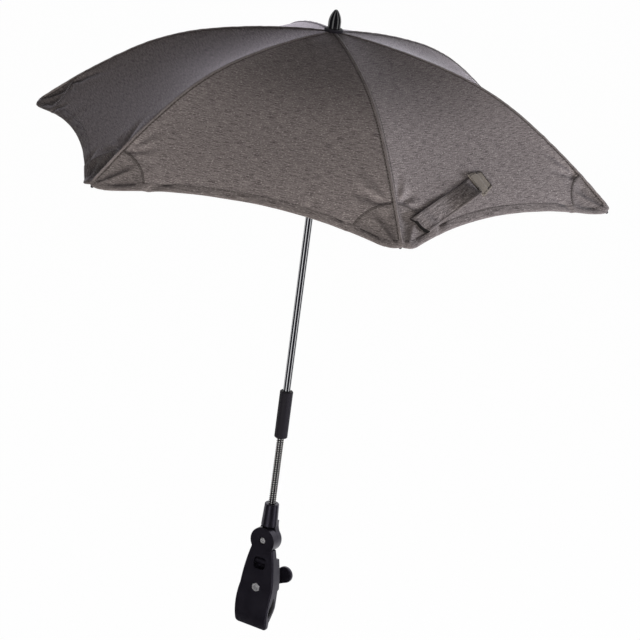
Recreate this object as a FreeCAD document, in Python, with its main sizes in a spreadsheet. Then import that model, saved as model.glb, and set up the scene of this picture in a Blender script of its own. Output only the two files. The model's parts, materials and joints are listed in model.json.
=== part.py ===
"""Pram parasol with a tube clamp, a tilt joint, a bendable arm and a folding six-rib canopy.

Origin at the middle of the clamp's tube bore, +X along that tube, +Z up along the mast, and the clamp's front
plate towards -Y. Millimetres and degrees.
"""
import FreeCAD, Part

import math
import os
import re

import Sketcher
from FreeCAD import Placement, Rotation, Vector

SIZES = [
    # Tube clamp
    ("bore_radius", 14, "tube that the closed clamp holds"),
    ("liner_thick", 2, "rubber pad in each jaw"),
    ("liner_length", 24, "pad along the tube"),
    ("jaw_wall", 3.2, "jaw behind its pad"),
    ("lip_gap", 4, "gap between the jaws below the tube"),
    ("lip_drop", 23, "bottom of the jaws below the tube's centre"),
    ("lip_face", 14.5, "front face at the lip"),
    ("foot_width", 48, "front plate at its foot"),
    ("foot_rise", 15, "height where the plate starts to taper"),
    ("toe_width", 45.6, "front plate at its bottom"),
    ("toe_radius", 5, "bottom corners of the front plate"),
    ("shoulder_width", 30.6, "front plate at its top"),
    ("shoulder_height", 81, "top of the front plate"),
    ("shoulder_face", 10.5, "front face at the top of the plate"),
    ("plate_front_radius", 67, "bow of the plate round the tube"),
    ("plate_crease_radius", 9, "hollow where the bow meets the flat of the plate"),
    ("plate_edge_radius", 1.6, "rounding of the plate's front edge"),
    ("side_back", 3.3, "how far the side walls reach past the tube's centre"),
    ("side_rise", 7, "side walls above the jaw hinge"),
    ("side_sheet", 3.3, "side walls beside the tube"),
    ("relief_radius", 25, "hollow of the side walls beside the tube"),
    ("arm_width", 25, "rear jaw"),
    ("arm_thick", 5.5, "rear jaw above the tube"),
    ("arm_front", 1.8, "front of the rear jaw's arm before the tube's centre"),
    ("arm_gap", 0.4, "clearance of the arm in its channel"),
    ("arm_rise", 4, "rear jaw's arm above the jaw hinge"),
    ("hook_angle", 34, "where the hook's back runs straight to the lip"),
    ("hook_lip_rise", 1.5, "rear jaw's lip above the front jaw's"),
    ("cheek_thick", 3.6, "cheeks of the rear jaw beside the knob"),
    ("cheek_back", 19.8, "cheeks behind the tube's centre"),
    ("cheek_rise", 12, "top of the cheeks above the bolt"),
    ("cheek_radius", 30, "back of the cheeks"),
    ("hinge_drop", 20, "jaw hinge under the top of the plate"),
    ("hinge_height", "=shoulder_height - hinge_drop", "jaw hinge above the tube's centre"),
    ("hinge_setback", 3.5, "jaw hinge before the tube's centre"),
    ("hinge_eye_radius", 4.5, "eye of the rear jaw"),
    ("pin_radius", 2, "jaw hinge pin"),
    ("pin_length", 36, "jaw hinge pin"),
    ("window_width", 17, "window in front of the hinge"),
    ("window_rise", 15, "window in front of the hinge"),
    ("window_round", 4, "corners of the window"),
    # Clamp screw
    ("bolt_height", 29, "clamp bolt above the tube's centre"),
    ("bolt_face", 13.5, "front face at the bolt"),
    ("bolt_radius", 3, "thread of the clamp bolt"),
    ("nut_flats", 10, "clamp nut across flats"),
    ("nut_thick", 5, "hexagon of the clamp nut"),
    ("nut_proud", 0.7, "nut before the plate's face"),
    ("nut_chamfer", 0.7, "corners of the nut's face"),
    ("bolt_short", 3.5, "end of the bolt inside the nut"),
    ("nut_barrel_radius", 4.2, "barrel of the clamp nut"),
    ("bolt_slot_rise", 3.4, "slot above the bolt in the rear jaw"),
    ("bolt_slot_drop", 6.9, "slot below the bolt in the rear jaw"),
    ("bolt_slot_gap", 0.32, "slot beside the bolt in the rear jaw"),
    ("knob_gap", 0.3, "knob washer behind the rear jaw"),
    ("knob_washer_thick", 1.2, "washer"),
    ("knob_washer_radius", 7, "washer"),
    ("hub_radius", 6.6, "stem of the wing knob"),
    ("hub_length", 24.5, "stem and head of the wing knob"),
    ("wing_start", 23, "wings behind the tube's centre"),
    ("wing_thick", 5, "wings"),
    ("wing_reach", 20, "middle of a wing from the bolt"),
    ("wing_radius", 10.4, "round end of a wing"),
    ("wing_waist", 17, "wing at the stem"),
    ("wing_round", 1.4, "edges of the wings"),
    ("wing_turn", 33, "wings above the tube's line"),
    # Tilt joint
    ("tilt_rise", 10, "tilt pivot above the front plate"),
    ("tilt_height", "=shoulder_height + tilt_rise", "tilt pivot above the tube's centre"),
    ("disc_radius", 17, "tilt disc of the front jaw"),
    ("disc_face", 12.4, "front of the tilt disc"),
    ("disc_back", 2.5, "back of the tilt disc"),
    ("rear_disc_radius", 16.5, "tilt disc of the socket"),
    ("rear_disc_thick", 8, "tilt disc of the socket"),
    ("friction_washer_thick", 0.8, "between the discs"),
    ("friction_washer_radius", 12, "between the discs"),
    ("screw_radius", 2.5, "pivot screw"),
    ("screw_head_radius", 4.2, "pivot screw"),
    ("screw_head_thick", 2.8, "pivot screw"),
    ("screw_sink", 3.2, "counterbore for the screw's head"),
    ("screw_sink_gap", 0.32, "counterbore round the screw's head"),
    ("recess_length", 4.8, "cross recess of the screw"),
    ("recess_width", 1.1, "cross recess of the screw"),
    ("recess_depth", 1.3, "cross recess of the screw"),
    ("screw_nut_flats", 8, "pivot nut across flats"),
    ("screw_nut_thick", 3.5, "pivot nut"),
    ("screw_end", 0.7, "screw past its nut"),
    # Socket, bendable arm and sleeve
    ("socket_gap", 1.5, "socket's front above the tilt disc"),
    ("socket_foot", "=tilt_height + disc_radius + socket_gap", "underside of the socket's front"),
    ("socket_length", 28.5, "socket above its foot"),
    ("socket_top", "=socket_foot + socket_length", "mouth of the socket"),
    ("socket_foot_radius", 10.2, "socket at its foot"),
    ("socket_top_radius", 8.8, "socket at its mouth"),
    ("socket_floor", 7.5, "closed bottom of the socket"),
    ("neck_angle", 22, "where the neck leaves the tilt disc"),
    ("neck_gap", 0.5, "top of the neck under the socket's floor"),
    ("neck_radius", 26, "hollow sides of the neck"),
    ("neck_top_share", 0.94, "neck at its top, of the socket's radius at its foot"),
    ("mouth_depth", 8, "narrow mouth that holds the winding"),
    ("mouth_gap", 0.2, "mouth round the winding"),
    ("chamber_radius", 5.6, "room for the winding's ends"),
    ("arm_length", 87, "free length of the bendable arm"),
    ("winding_radius", 4.5, "outside of the winding"),
    ("winding_wire", 2.3, "wire of the winding"),
    ("winding_pitch", 2.9, "one turn of the winding"),
    ("core_gap", 0.25, "core inside the winding"),
    ("sleeve_length", 60, "coupling sleeve"),
    ("sleeve_radius", 8.05, "coupling sleeve"),
    ("sleeve_chamber", 21, "lower bore of the sleeve"),
    ("sleeve_web", 3, "wall between the sleeve's bores"),
    ("sleeve_chamfer", 0.8, "edges of the sleeve and socket"),
    # Shaft and top
    ("shaft_radius", 4.5, "steel tube"),
    ("shaft_wall", 0.8, "steel tube"),
    ("hub_height", 730.6, "cloth at the shaft"),
    ("collar_radius", 11, "collar on the cloth"),
    ("collar_thick", 3.6, "collar on the cloth"),
    ("collar_round", 1.8, "shoulder of the collar"),
    ("ferrule_radius", 7.5, "end piece"),
    ("ferrule_length", 22, "end piece"),
    ("ferrule_straight", 7, "end piece below its ogive"),
    ("ferrule_nose_radius", 3, "end piece"),
    ("nose_angle", 30, "where the ogive meets the nose"),
    ("ferrule_ogive_radius", 24, "end piece"),
    ("shaft_in_ferrule", 11, "shaft inside the end piece"),
    # Canopy
    ("first_break", 150, "end of the flat bow of a rib"),
    ("second_break", 240, "end of the tight bow of a rib"),
    ("tip_radius", 350, "rib tips from the mast"),
    ("hub_slope", 3.3, "fall of the cloth at the shaft"),
    ("first_slope", 15, "fall of the cloth at the first break"),
    ("second_slope", 32.4, "fall of the cloth at the second break"),
    ("tip_slope", 43, "fall of the cloth at the rib tips"),
    ("cloth_thick", 0.8, "cloth with its seams"),
    ("cloth_hole", 6, "hole for the shaft"),
    ("hem_overhang", 5, "cloth past the rib tips"),
    ("hem_sag", 17, "hem drawn in between two ribs"),
    ("panel_gap", 0.3, "between two gores"),
    ("first_rib_angle", 16.67, "first rib from the tube's line"),
    ("strap_start_share", 0.743, "strap's sewn end from the mast, of the rib tips' radius"),
    ("strap_end_share", 0.823, "strap's loose end from the mast, of the rib tips' radius"),
    ("strap_start_side_share", 0.049, "strap's sewn end from the panel's middle, of the rib tips' radius"),
    ("strap_end_side_share", 0.383, "strap's loose end from the panel's middle, of the rib tips' radius"),
    ("strap_width", 15, "closing strap"),
    ("strap_thick", 1.2, "closing strap"),
    ("patch_side", 27, "sewn patch"),
    # Ribs and stretchers
    ("rib_radius", 1.3, "rib wire"),
    ("rib_drop", 3.8, "rib under the outside of the cloth"),
    ("rib_pivot_radius", 9.7, "rib and stretcher pivots from the mast's middle"),
    ("eye_radius", 2.2, "flat eye of a rib or stretcher"),
    ("eye_thick", 1.8, "flat eye of a rib or stretcher"),
    ("wire_inset", 7.2, "round wire of a rib past its pivot"),
    ("eye_lap", 3, "flat end of a rib over its wire"),
    ("lug_share", 0.5, "stretcher lug, of the turn of the tight bow"),
    ("lug_drop", 4.4, "stretcher rivet under the rib"),
    ("lug_length", 7, "lug along the rib"),
    ("tip_cap_radius", 1.9, "plastic cap of a rib"),
    ("tip_cap_length", 12, "plastic cap of a rib"),
    ("tip_cap_end", 1.2, "closed end of the cap"),
    ("stretcher_height", 4, "pressed channel"),
    ("stretcher_wall", 0.8, "pressed channel"),
    ("stretcher_web", 1, "floor of the channel"),
    ("fork_length", 12, "open fork of a stretcher"),
    ("tongue_length", 9, "flat inner end of a stretcher"),
    ("rivet_radius", 0.9, "stretcher rivet"),
    ("rivet_head_radius", 1.7, "stretcher rivet"),
    ("rivet_head_thick", 0.5, "stretcher rivet"),
    ("fold_angle", 64, "turn of a rib from open to closed"),
    # Crown and runner
    ("crown_radius", 13.5, "top notch"),
    ("crown_drop", 5.1, "top notch under the rib pivots"),
    ("crown_rise", 1.9, "top notch over the rib pivots"),
    ("slot_width", 2.4, "slots for the eyes"),
    ("slot_floor", 7.2, "bottom of the slots from the mast's middle"),
    ("wire_radius", 0.6, "wire through the eyes"),
    ("runner_flange", 4, "runner's flange above and below its pivots"),
    ("runner_sleeve_radius", 6.8, "runner under its flange"),
    ("runner_sleeve_length", 33, "runner under its flange"),
    # Spring catch
    ("catch_thick", 1.6, "spring leaf"),
    ("catch_reach", 7.2, "nose from the mast's middle"),
    ("catch_nose", 26, "slope of the nose"),
    ("catch_leg", 32, "leg in the shaft"),
    ("catch_leg_thick", 1.6, "leg in the shaft"),
    ("catch_slot_end", 3, "slot past the nose"),
    # Clearances
    ("fit_gap", 0.05, "between pieces that are joined"),
    ("run_gap", 0.08, "between a pin or shaft and its hole"),
    ("face_gap", 0.1, "between faces that slide"),
    ("overrun", 2, "how far cuts run past"),
]
RIB_COUNT = 6
SAME_SPOT = 1e-6
FACING = 0.9
NAMES = {alias for alias, _, _ in SIZES}
ALONG_Y = Rotation(Vector(1, 0, 0), -90)

doc = FreeCAD.newDocument("PramParasol")
sheet = doc.addObject("Spreadsheet::Sheet", "Sizes")
for row, (alias, number, note) in enumerate(SIZES, start=1):
    sheet.set(f"A{row}", note)
    sheet.set(f"B{row}", str(number))
    sheet.setAlias(f"B{row}", alias)
doc.recompute()


def value(text):
    """Number that a sum of sheet names comes to."""
    return float(sheet.evalExpression(text))


def scoped(text):
    """The same sum with the sheet's name before each of its aliases."""
    return re.sub(r"[a-z_]{2,}", lambda word: "Sizes." + word[0] if word[0] in NAMES else word[0], text)


def arc_between(start, end, radius):
    """Arc of a signed radius: a positive one bulges to the right of the way from start to end."""
    chord = end - start
    half = chord.Length / 2
    sagitta = abs(radius) - math.sqrt(max(radius * radius - half * half, 0))
    right = Vector(chord.y, -chord.x, 0).normalize()
    middle = (start + end) / 2 + right * math.copysign(sagitta, radius)
    return Part.Arc(start, middle, end)


def new_body(name):
    body = doc.addObject("PartDesign::Body", name)
    body.Label = name
    return body


def attach(sketch, body, role, lift):
    """Lay a sketch on one of its body's own planes, lifted along that plane's normal."""
    plane = next(item for item in body.Origin.OriginFeatures if item.Role == role)
    sketch.AttachmentSupport = [(plane, "")]
    sketch.MapMode = "FlatFace"
    if lift:
        sketch.setExpression(".AttachmentOffset.Base.z", scoped(lift))


def pin_point(sketch, edge, end, across, along):
    """Hold one end of an edge at a place given by two sums of sheet names."""
    for kind, axis, text in (("DistanceX", -2, across), ("DistanceY", -1, along)):
        if text == "0":
            sketch.addConstraint(Sketcher.Constraint("PointOnObject", edge, end, axis))
            continue
        index = sketch.addConstraint(Sketcher.Constraint(kind, -1, 1, edge, end, value(text)))
        sketch.setExpression(f"Constraints[{index}]", scoped(text))


def draw(sketch, corners):
    """Closed outline. A third entry is the signed radius of the arc from that corner to the next."""
    spots = [Vector(value(corner[0]), value(corner[1]), 0) for corner in corners]
    ends = []
    for index, corner in enumerate(corners):
        start = spots[index]
        stop = spots[(index + 1) % len(spots)]
        if len(corner) == 2:
            edge = sketch.addGeometry(Part.LineSegment(start, stop), False)
        else:
            edge = sketch.addGeometry(arc_between(start, stop, value(corner[2])), False)
        first = 1 if sketch.getPoint(edge, 1).isEqual(start, SAME_SPOT) else 2
        ends.append((edge, first, 3 - first))
    for index, (edge, first, last) in enumerate(ends):
        following = ends[(index + 1) % len(ends)]
        sketch.addConstraint(Sketcher.Constraint("Coincident", edge, last, following[0], following[1]))
    for corner, (edge, first, last) in zip(corners, ends):
        pin_point(sketch, edge, first, corner[0], corner[1])
        if len(corner) == 3:
            index = sketch.addConstraint(Sketcher.Constraint("Radius", edge, abs(value(corner[2]))))
            sketch.setExpression(f"Constraints[{index}]", scoped(f"abs({corner[2]})"))


def outline(body, role, name, corners, lift=""):
    sketch = body.newObject("Sketcher::SketchObject", name)
    attach(sketch, body, role, lift)
    draw(sketch, corners)
    return sketch


def ring(body, role, name, circles, lift=""):
    """Sketch of circles, each given by its middle's two places and its radius."""
    sketch = body.newObject("Sketcher::SketchObject", name)
    attach(sketch, body, role, lift)
    for across, along, radius in circles:
        middle = Vector(value(across), value(along), 0)
        edge = sketch.addGeometry(Part.Circle(middle, Vector(0, 0, 1), value(radius)), False)
        pin_point(sketch, edge, 3, across, along)
        index = sketch.addConstraint(Sketcher.Constraint("Radius", edge, value(radius)))
        sketch.setExpression(f"Constraints[{index}]", scoped(radius))
    return sketch


def feature(kind, sketch, length, symmetric=False, back=False):
    """Pad or pocket of a sketch by a bound length, in the sketch's own body."""
    body = sketch.getParentGeoFeatureGroup()
    made = body.newObject("PartDesign::" + kind, f"{sketch.Name}_{kind.lower()}")
    made.Profile = sketch
    made.SideType = "Symmetric" if symmetric else "One side"
    made.Reversed = back
    made.setExpression("Length", scoped(length))
    return made


def soften(body, name, first, second, radius, away=0):
    """Round the edges between a face that looks along the first direction and one along or against the second.

    Without a second direction the other face is any that stands square to the first. Edges nearer to the body's
    own Z axis than away keep their corner.
    """
    doc.recompute()
    base = body.Tip
    names = []
    for index, edge in enumerate(base.Shape.Edges, start=1):
        ways = []
        for face in base.Shape.ancestorsOfType(edge, Part.Face):
            low_u, high_u, low_v, high_v = face.ParameterRange
            ways.append(face.normalAt((low_u + high_u) / 2, (low_v + high_v) / 2))
        middle = edge.valueAt((edge.FirstParameter + edge.LastParameter) / 2)
        if len(ways) < 2 or math.hypot(middle.x, middle.y) < away:
            continue
        for one, other in (ways, ways[::-1]):
            fits = abs(other.dot(second)) > FACING if second else abs(other.dot(first)) < 1 - FACING
            if fits and one.dot(first) > FACING:
                names.append(f"Edge{index}")
                break
    rounding = body.newObject("PartDesign::Fillet", name)
    rounding.Base = (base, names)
    rounding.setExpression("Radius", scoped(radius))
    return rounding


def turned(name, corners):
    """Body turned about its own Z axis from a half section of radius and height."""
    body = new_body(name)
    sketch = outline(body, "XZ_Plane", f"{name}_section", corners)
    turn = body.newObject("PartDesign::Revolution", f"{name}_turn")
    turn.Profile = sketch
    turn.ReferenceAxis = (sketch, ["V_Axis"])
    turn.Angle = 360
    return body


def lay_along_y(body, height, turn=0):
    """Turn a body's own Z axis to +Y and lift it to a bound height."""
    body.Placement = Placement(Vector(), Rotation(Vector(0, 1, 0), -turn) * ALONG_Y)
    body.setExpression(".Placement.Base.z", scoped(height))


def hexagon(name, flats, low, high):
    """Hexagon bar along Y with two corners up and down."""
    bar = doc.addObject("Part::Prism", name)
    bar.Polygon = 6
    bar.setExpression("Circumradius", scoped(f"({flats}) / sqrt(3)"))
    bar.setExpression("Height", scoped(f"({high}) - ({low})"))
    bar.Placement = Placement(Vector(), ALONG_Y * Rotation(Vector(0, 0, 1), 90))
    bar.setExpression(".Placement.Base.y", scoped(low))
    return bar


def less(name, base, *tools):
    """Base with tools cut away, as one labelled object."""
    for index, tool in enumerate(tools, start=1):
        cut = doc.addObject("Part::Cut", f"{name}_cut_{index}")
        cut.Base = base
        cut.Tool = tool
        base = cut
    base.Label = name
    return base


def front_jaw():
    body = new_body("front_jaw_block")
    jaw = "(bore_radius + liner_thick)"
    side = outline(body, "YZ_Plane", "jaw_side", [
        ("-shoulder_face", "shoulder_height"),
        ("-bolt_face", "bolt_height", "plate_front_radius"),
        ("-lip_face", "-lip_drop"),
        ("-lip_gap / 2", "-lip_drop"),
        ("-lip_gap / 2", f"-sqrt({jaw}^2 - (lip_gap / 2)^2)", f"-{jaw}"),
        (f"-{jaw}", "0", f"-{jaw}"),
        ("side_back", f"sqrt({jaw}^2 - side_back^2)"),
        ("side_back", "hinge_height + side_rise"),
        ("-disc_back", "hinge_height + side_rise"),
        ("-disc_back", "shoulder_height"),
    ])
    feature("Pad", side, "foot_width", symmetric=True)
    taper = "((foot_width - shoulder_width) / 2)"
    bow = f"((shoulder_height - foot_rise)^2 + {taper}^2) / (2 * {taper})"
    toe = "((foot_width - toe_width) / 2)"
    toe_bow = f"((lip_drop + foot_rise)^2 + {toe}^2) / (2 * {toe})"
    for hand, sign in (("left", "-"), ("right", "")):
        edge = f"{sign}(foot_width / 2 + overrun)"
        trim = outline(body, "XZ_Plane", f"trim_{hand}", [
            (f"{sign}toe_width / 2", "-lip_drop", f"{sign}{toe_bow}"),
            (f"{sign}foot_width / 2", "foot_rise", f"{sign}{bow}"),
            (f"{sign}shoulder_width / 2", "shoulder_height"),
            (f"{sign}shoulder_width / 2", "shoulder_height + overrun"),
            (edge, "shoulder_height + overrun"),
            (edge, "-lip_drop - overrun"),
            (f"{sign}toe_width / 2", "-lip_drop - overrun"),
        ])
        feature("Pocket", trim, "2 * foot_width", symmetric=True)
    front = Vector(0, -1, 0)
    across = Vector(1, 0, 0)
    soften(body, "plate_toe", Vector(0, 0, -1), across, "toe_radius")
    soften(body, "plate_crease", front, front, "plate_crease_radius")
    soften(body, "plate_edge", front, across, "plate_edge_radius")
    ear = ring(body, "XZ_Plane", "tilt_disc", [("0", "tilt_height", "disc_radius")], "disc_back")
    feature("Pad", ear, "disc_face - disc_back")
    for hand, inward in (("left", True), ("right", False)):
        sign = "-" if inward else ""
        relief = outline(body, "YZ_Plane", f"side_relief_{hand}", [
            ("side_back", "bolt_height", "relief_radius"),
            ("-lip_face + side_sheet", "0"),
            ("-lip_face + side_sheet", "-lip_drop - overrun"),
            ("side_back + overrun", "-lip_drop - overrun"),
            ("side_back + overrun", "bolt_height"),
        ], f"{sign}(arm_width / 2 + arm_gap)")
        feature("Pocket", relief, "foot_width", back=not inward)
    channel = outline(body, "YZ_Plane", "arm_channel", [
        ("-arm_front - arm_gap", "bore_radius - overrun"),
        ("-arm_front - arm_gap", "hinge_height - hinge_eye_radius - arm_gap"),
        ("-hinge_setback - hinge_eye_radius - arm_gap", "hinge_height - hinge_eye_radius - arm_gap"),
        ("-hinge_setback - hinge_eye_radius - arm_gap", "hinge_height + hinge_eye_radius + arm_gap"),
        ("side_back + overrun", "hinge_height + hinge_eye_radius + arm_gap"),
        ("side_back + overrun", "bore_radius - overrun"),
    ])
    feature("Pocket", channel, "arm_width + 2 * arm_gap", symmetric=True)
    corners = []
    for x, z, first in (("-", "-", "z"), ("", "-", "x"), ("", "+", "z"), ("-", "+", "x")):
        wide = f"{x}window_width / 2"
        high = f"hinge_height {z} window_rise / 2"
        inner_wide = f"{x}(window_width / 2 - window_round)"
        inner_high = f"hinge_height {z} (window_rise / 2 - window_round)"
        ends = [(wide, inner_high), (inner_wide, high)]
        if first == "x":
            ends.reverse()
        corners += [(*ends[0], "window_round"), ends[1]]
    window = outline(body, "XZ_Plane", "hinge_window", corners, "hinge_setback")
    feature("Pocket", window, "shoulder_face + bolt_face", back=True)
    pin_hole = ring(body, "YZ_Plane", "pin_hole", [("-hinge_setback", "hinge_height", "pin_radius + fit_gap")])
    feature("Pocket", pin_hole, "pin_length + 2 * fit_gap", symmetric=True)
    barrel = ring(body, "XZ_Plane", "barrel_hole", [("0", "bolt_height", "nut_barrel_radius + fit_gap")])
    feature("Pocket", barrel, "bolt_face + nut_thick", back=True)
    screw = ring(body, "XZ_Plane", "screw_hole", [("0", "tilt_height", "screw_radius + run_gap")])
    feature("Pocket", screw, "disc_face + overrun", back=True)
    sink = ring(body, "XZ_Plane", "screw_sink", [("0", "tilt_height", "screw_head_radius + screw_sink_gap")],
                "disc_face - screw_sink")
    feature("Pocket", sink, "screw_sink + overrun", back=True)
    pocket = hexagon("nut_pocket", "nut_flats + 2 * run_gap", "-bolt_face - overrun",
                     "-bolt_face - nut_proud + nut_thick")
    pocket.setExpression(".Placement.Base.z", "Sizes.bolt_height")
    return less("front_jaw", body, pocket)


def rear_jaw():
    body = new_body("rear_jaw")
    inner = "(bore_radius + liner_thick)"
    outer = "(bore_radius + liner_thick + jaw_wall)"
    back = "(arm_thick - arm_front)"
    turn_across = f"({outer} * cos(hook_angle))"
    turn_down = f"({outer} * sin(hook_angle))"
    lip = "(lip_drop - hook_lip_rise)"
    side = outline(body, "YZ_Plane", "hook_side", [
        ("-arm_front", "hinge_height + arm_rise - arm_thick / 2"),
        ("-arm_front", f"sqrt({inner}^2 - arm_front^2)", f"-{inner}"),
        (f"{inner}", "0", f"-{inner}"),
        ("lip_gap / 2", f"-sqrt({inner}^2 - (lip_gap / 2)^2)"),
        ("lip_gap / 2", f"-{lip}"),
        (f"{turn_across} - ({lip} - {turn_down}) * tan(hook_angle)", f"-{lip}"),
        (turn_across, f"-{turn_down}", f"{outer}"),
        (back, f"sqrt({outer}^2 - {back}^2)"),
        (back, "hinge_height + arm_rise - arm_thick"),
        (f"{back} / 2", "hinge_height + arm_rise - arm_thick / 2"),
    ])
    feature("Pad", side, "arm_width", symmetric=True)
    middle = f"({inner} + jaw_wall / 2)"
    for hand, sign in (("left", "-"), ("right", "")):
        cheek = outline(body, "YZ_Plane", f"cheek_{hand}", [
            ("0", "bolt_height + cheek_rise"),
            ("0", middle, f"-{middle}"),
            (middle, "0"),
            (outer, "0"),
            ("cheek_back", "bolt_height - cheek_rise", "cheek_radius"),
            (back, "bolt_height + cheek_rise"),
        ], f"{sign}(arm_width / 2 - cheek_thick)")
        feature("Pad", cheek, "cheek_thick", back=sign == "-")
    eye = ring(body, "YZ_Plane", "hook_eye", [("-hinge_setback", "hinge_height", "hinge_eye_radius")])
    feature("Pad", eye, "arm_width", symmetric=True)
    hole = ring(body, "YZ_Plane", "hook_pin_hole", [("-hinge_setback", "hinge_height", "pin_radius + run_gap")])
    feature("Pocket", hole, "arm_width + overrun", symmetric=True)
    half = "(bolt_radius + bolt_slot_gap)"
    slot = outline(body, "XZ_Plane", "bolt_slot", [
        (f"-{half}", "bolt_height - bolt_slot_drop + bolt_radius"),
        ("0", "bolt_height - bolt_slot_drop"),
        (half, "bolt_height - bolt_slot_drop + bolt_radius"),
        (half, "bolt_height + bolt_slot_rise - bolt_radius / 2"),
        ("bolt_radius / 2", "bolt_height + bolt_slot_rise"),
        ("-bolt_radius / 2", "bolt_height + bolt_slot_rise"),
        (f"-{half}", "bolt_height + bolt_slot_rise - bolt_radius / 2"),
    ])
    feature("Pocket", slot, "4 * arm_thick", symmetric=True)
    return body


def liner(name, sign):
    """Rubber pad of one jaw: a length of a thick pipe's side."""
    body = new_body(name)
    outer = "(bore_radius + liner_thick - fit_gap)"
    edge = "(lip_gap / 2 + fit_gap)"
    bulge = "" if sign == "-" else "-"
    inward = "-" if sign == "-" else ""
    section = outline(body, "YZ_Plane", f"{name}_section", [
        (f"{sign}{edge}", f"-sqrt({outer}^2 - {edge}^2)", f"{inward}{outer}"),
        (f"{sign}{outer}", "0", f"{inward}{outer}"),
        (f"{sign}{edge}", f"sqrt({outer}^2 - {edge}^2)"),
        (f"{sign}{edge}", f"sqrt(bore_radius^2 - {edge}^2)", f"{bulge}bore_radius"),
        (f"{sign}bore_radius", "0", f"{bulge}bore_radius"),
        (f"{sign}{edge}", f"-sqrt(bore_radius^2 - {edge}^2)"),
    ])
    feature("Pad", section, "liner_length", symmetric=True)
    return body


def jaw_pin():
    pin = doc.addObject("Part::Cylinder", "jaw_pin")
    pin.setExpression("Radius", "Sizes.pin_radius")
    pin.setExpression("Height", "Sizes.pin_length")
    pin.Placement = Placement(Vector(), Rotation(Vector(0, 1, 0), 90))
    pin.setExpression(".Placement.Base.x", "-Sizes.pin_length / 2")
    pin.setExpression(".Placement.Base.y", "-Sizes.hinge_setback")
    pin.setExpression(".Placement.Base.z", "Sizes.hinge_height")
    return pin


def clamp_nut():
    face = "(bolt_face + nut_proud)"
    bar = hexagon("nut_bar", "nut_flats", f"-{face}", f"-{face} + nut_thick")
    bar.setExpression(".Placement.Base.z", "Sizes.bolt_height")
    rim = "(nut_flats / sqrt(3))"
    chamfered = turned("nut_chamfered", [
        ("0", f"-{face}"),
        (f"{rim} - nut_chamfer - overrun / 10", f"-{face}"),
        (f"{rim} + overrun", f"-{face} + (nut_chamfer + overrun) / 2"),
        (f"{rim} + overrun", f"-{face} + nut_thick"),
        ("0", f"-{face} + nut_thick"),
    ])
    lay_along_y(chamfered, "bolt_height")
    head = doc.addObject("Part::Common", "nut_head")
    head.Base = bar
    head.Tool = chamfered
    barrel = turned("nut_barrel", [
        ("0", f"-{face} + nut_thick / 2"),
        ("nut_barrel_radius", f"-{face} + nut_thick / 2"),
        ("nut_barrel_radius", "-arm_front - arm_gap"),
        ("0", "-arm_front - arm_gap"),
    ])
    lay_along_y(barrel, "bolt_height")
    whole = doc.addObject("Part::Fuse", "nut_whole")
    whole.Base = head
    whole.Tool = barrel
    hole = turned("nut_hole", [
        ("0", f"-{face} - overrun"),
        ("bolt_radius + run_gap", f"-{face} - overrun"),
        ("bolt_radius + run_gap", "overrun"),
        ("0", "overrun"),
    ])
    lay_along_y(hole, "bolt_height")
    return less("clamp_nut", whole, hole)


def knob_pieces():
    """Washer behind the rear jaw, the bolt, and the wing knob moulded on its end."""
    start = "(arm_thick - arm_front + knob_gap)"
    seat = f"({start} + knob_washer_thick + face_gap)"
    washer = turned("knob_washer", [
        ("bolt_radius + run_gap", start),
        ("knob_washer_radius", start),
        ("knob_washer_radius", f"{start} + knob_washer_thick"),
        ("bolt_radius + run_gap", f"{start} + knob_washer_thick"),
    ])
    lay_along_y(washer, "bolt_height")
    bolt = turned("clamp_bolt", [
        ("0", "-bolt_face - nut_proud + bolt_short"),
        ("bolt_radius", "-bolt_face - nut_proud + bolt_short"),
        ("bolt_radius", "wing_start"),
        ("0", "wing_start"),
    ])
    lay_along_y(bolt, "bolt_height")
    knob = turned("wing_knob", [
        ("bolt_radius + fit_gap", seat),
        ("hub_radius", seat),
        ("hub_radius", f"{seat} + hub_length - wing_thick / 2", "wing_thick / 2"),
        ("hub_radius - wing_thick / 2", f"{seat} + hub_length"),
        ("0", f"{seat} + hub_length"),
        ("0", "wing_start + fit_gap"),
        ("bolt_radius + fit_gap", "wing_start + fit_gap"),
    ])
    hollow = "((wing_reach^2 + (wing_waist / 2)^2 - wing_radius^2) / (2 * wing_radius - wing_waist))"
    share = f"(wing_radius / (wing_radius + {hollow}))"
    out = f"wing_reach * (1 - {share})"
    aside = f"({hollow} + wing_waist / 2) * {share}"
    wings = outline(knob, "XY_Plane", "wings", [
        (f"-{out}", f"-{aside}", f"-{hollow}"),
        (out, f"-{aside}", "wing_radius"),
        ("wing_reach + wing_radius", "0", "wing_radius"),
        (out, aside, f"-{hollow}"),
        (f"-{out}", aside, "wing_radius"),
        ("-wing_reach - wing_radius", "0", "wing_radius"),
    ], "wing_start")
    feature("Pad", wings, "wing_thick")
    clear = value("(hub_radius + wing_waist / 2) / 2")
    for side, way in (("back", 1), ("front", -1)):
        soften(knob, f"wing_rim_{side}", Vector(0, 0, way), None, "wing_round", clear)
    lay_along_y(knob, "bolt_height", value("wing_turn"))
    return [washer, bolt, knob]


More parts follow.
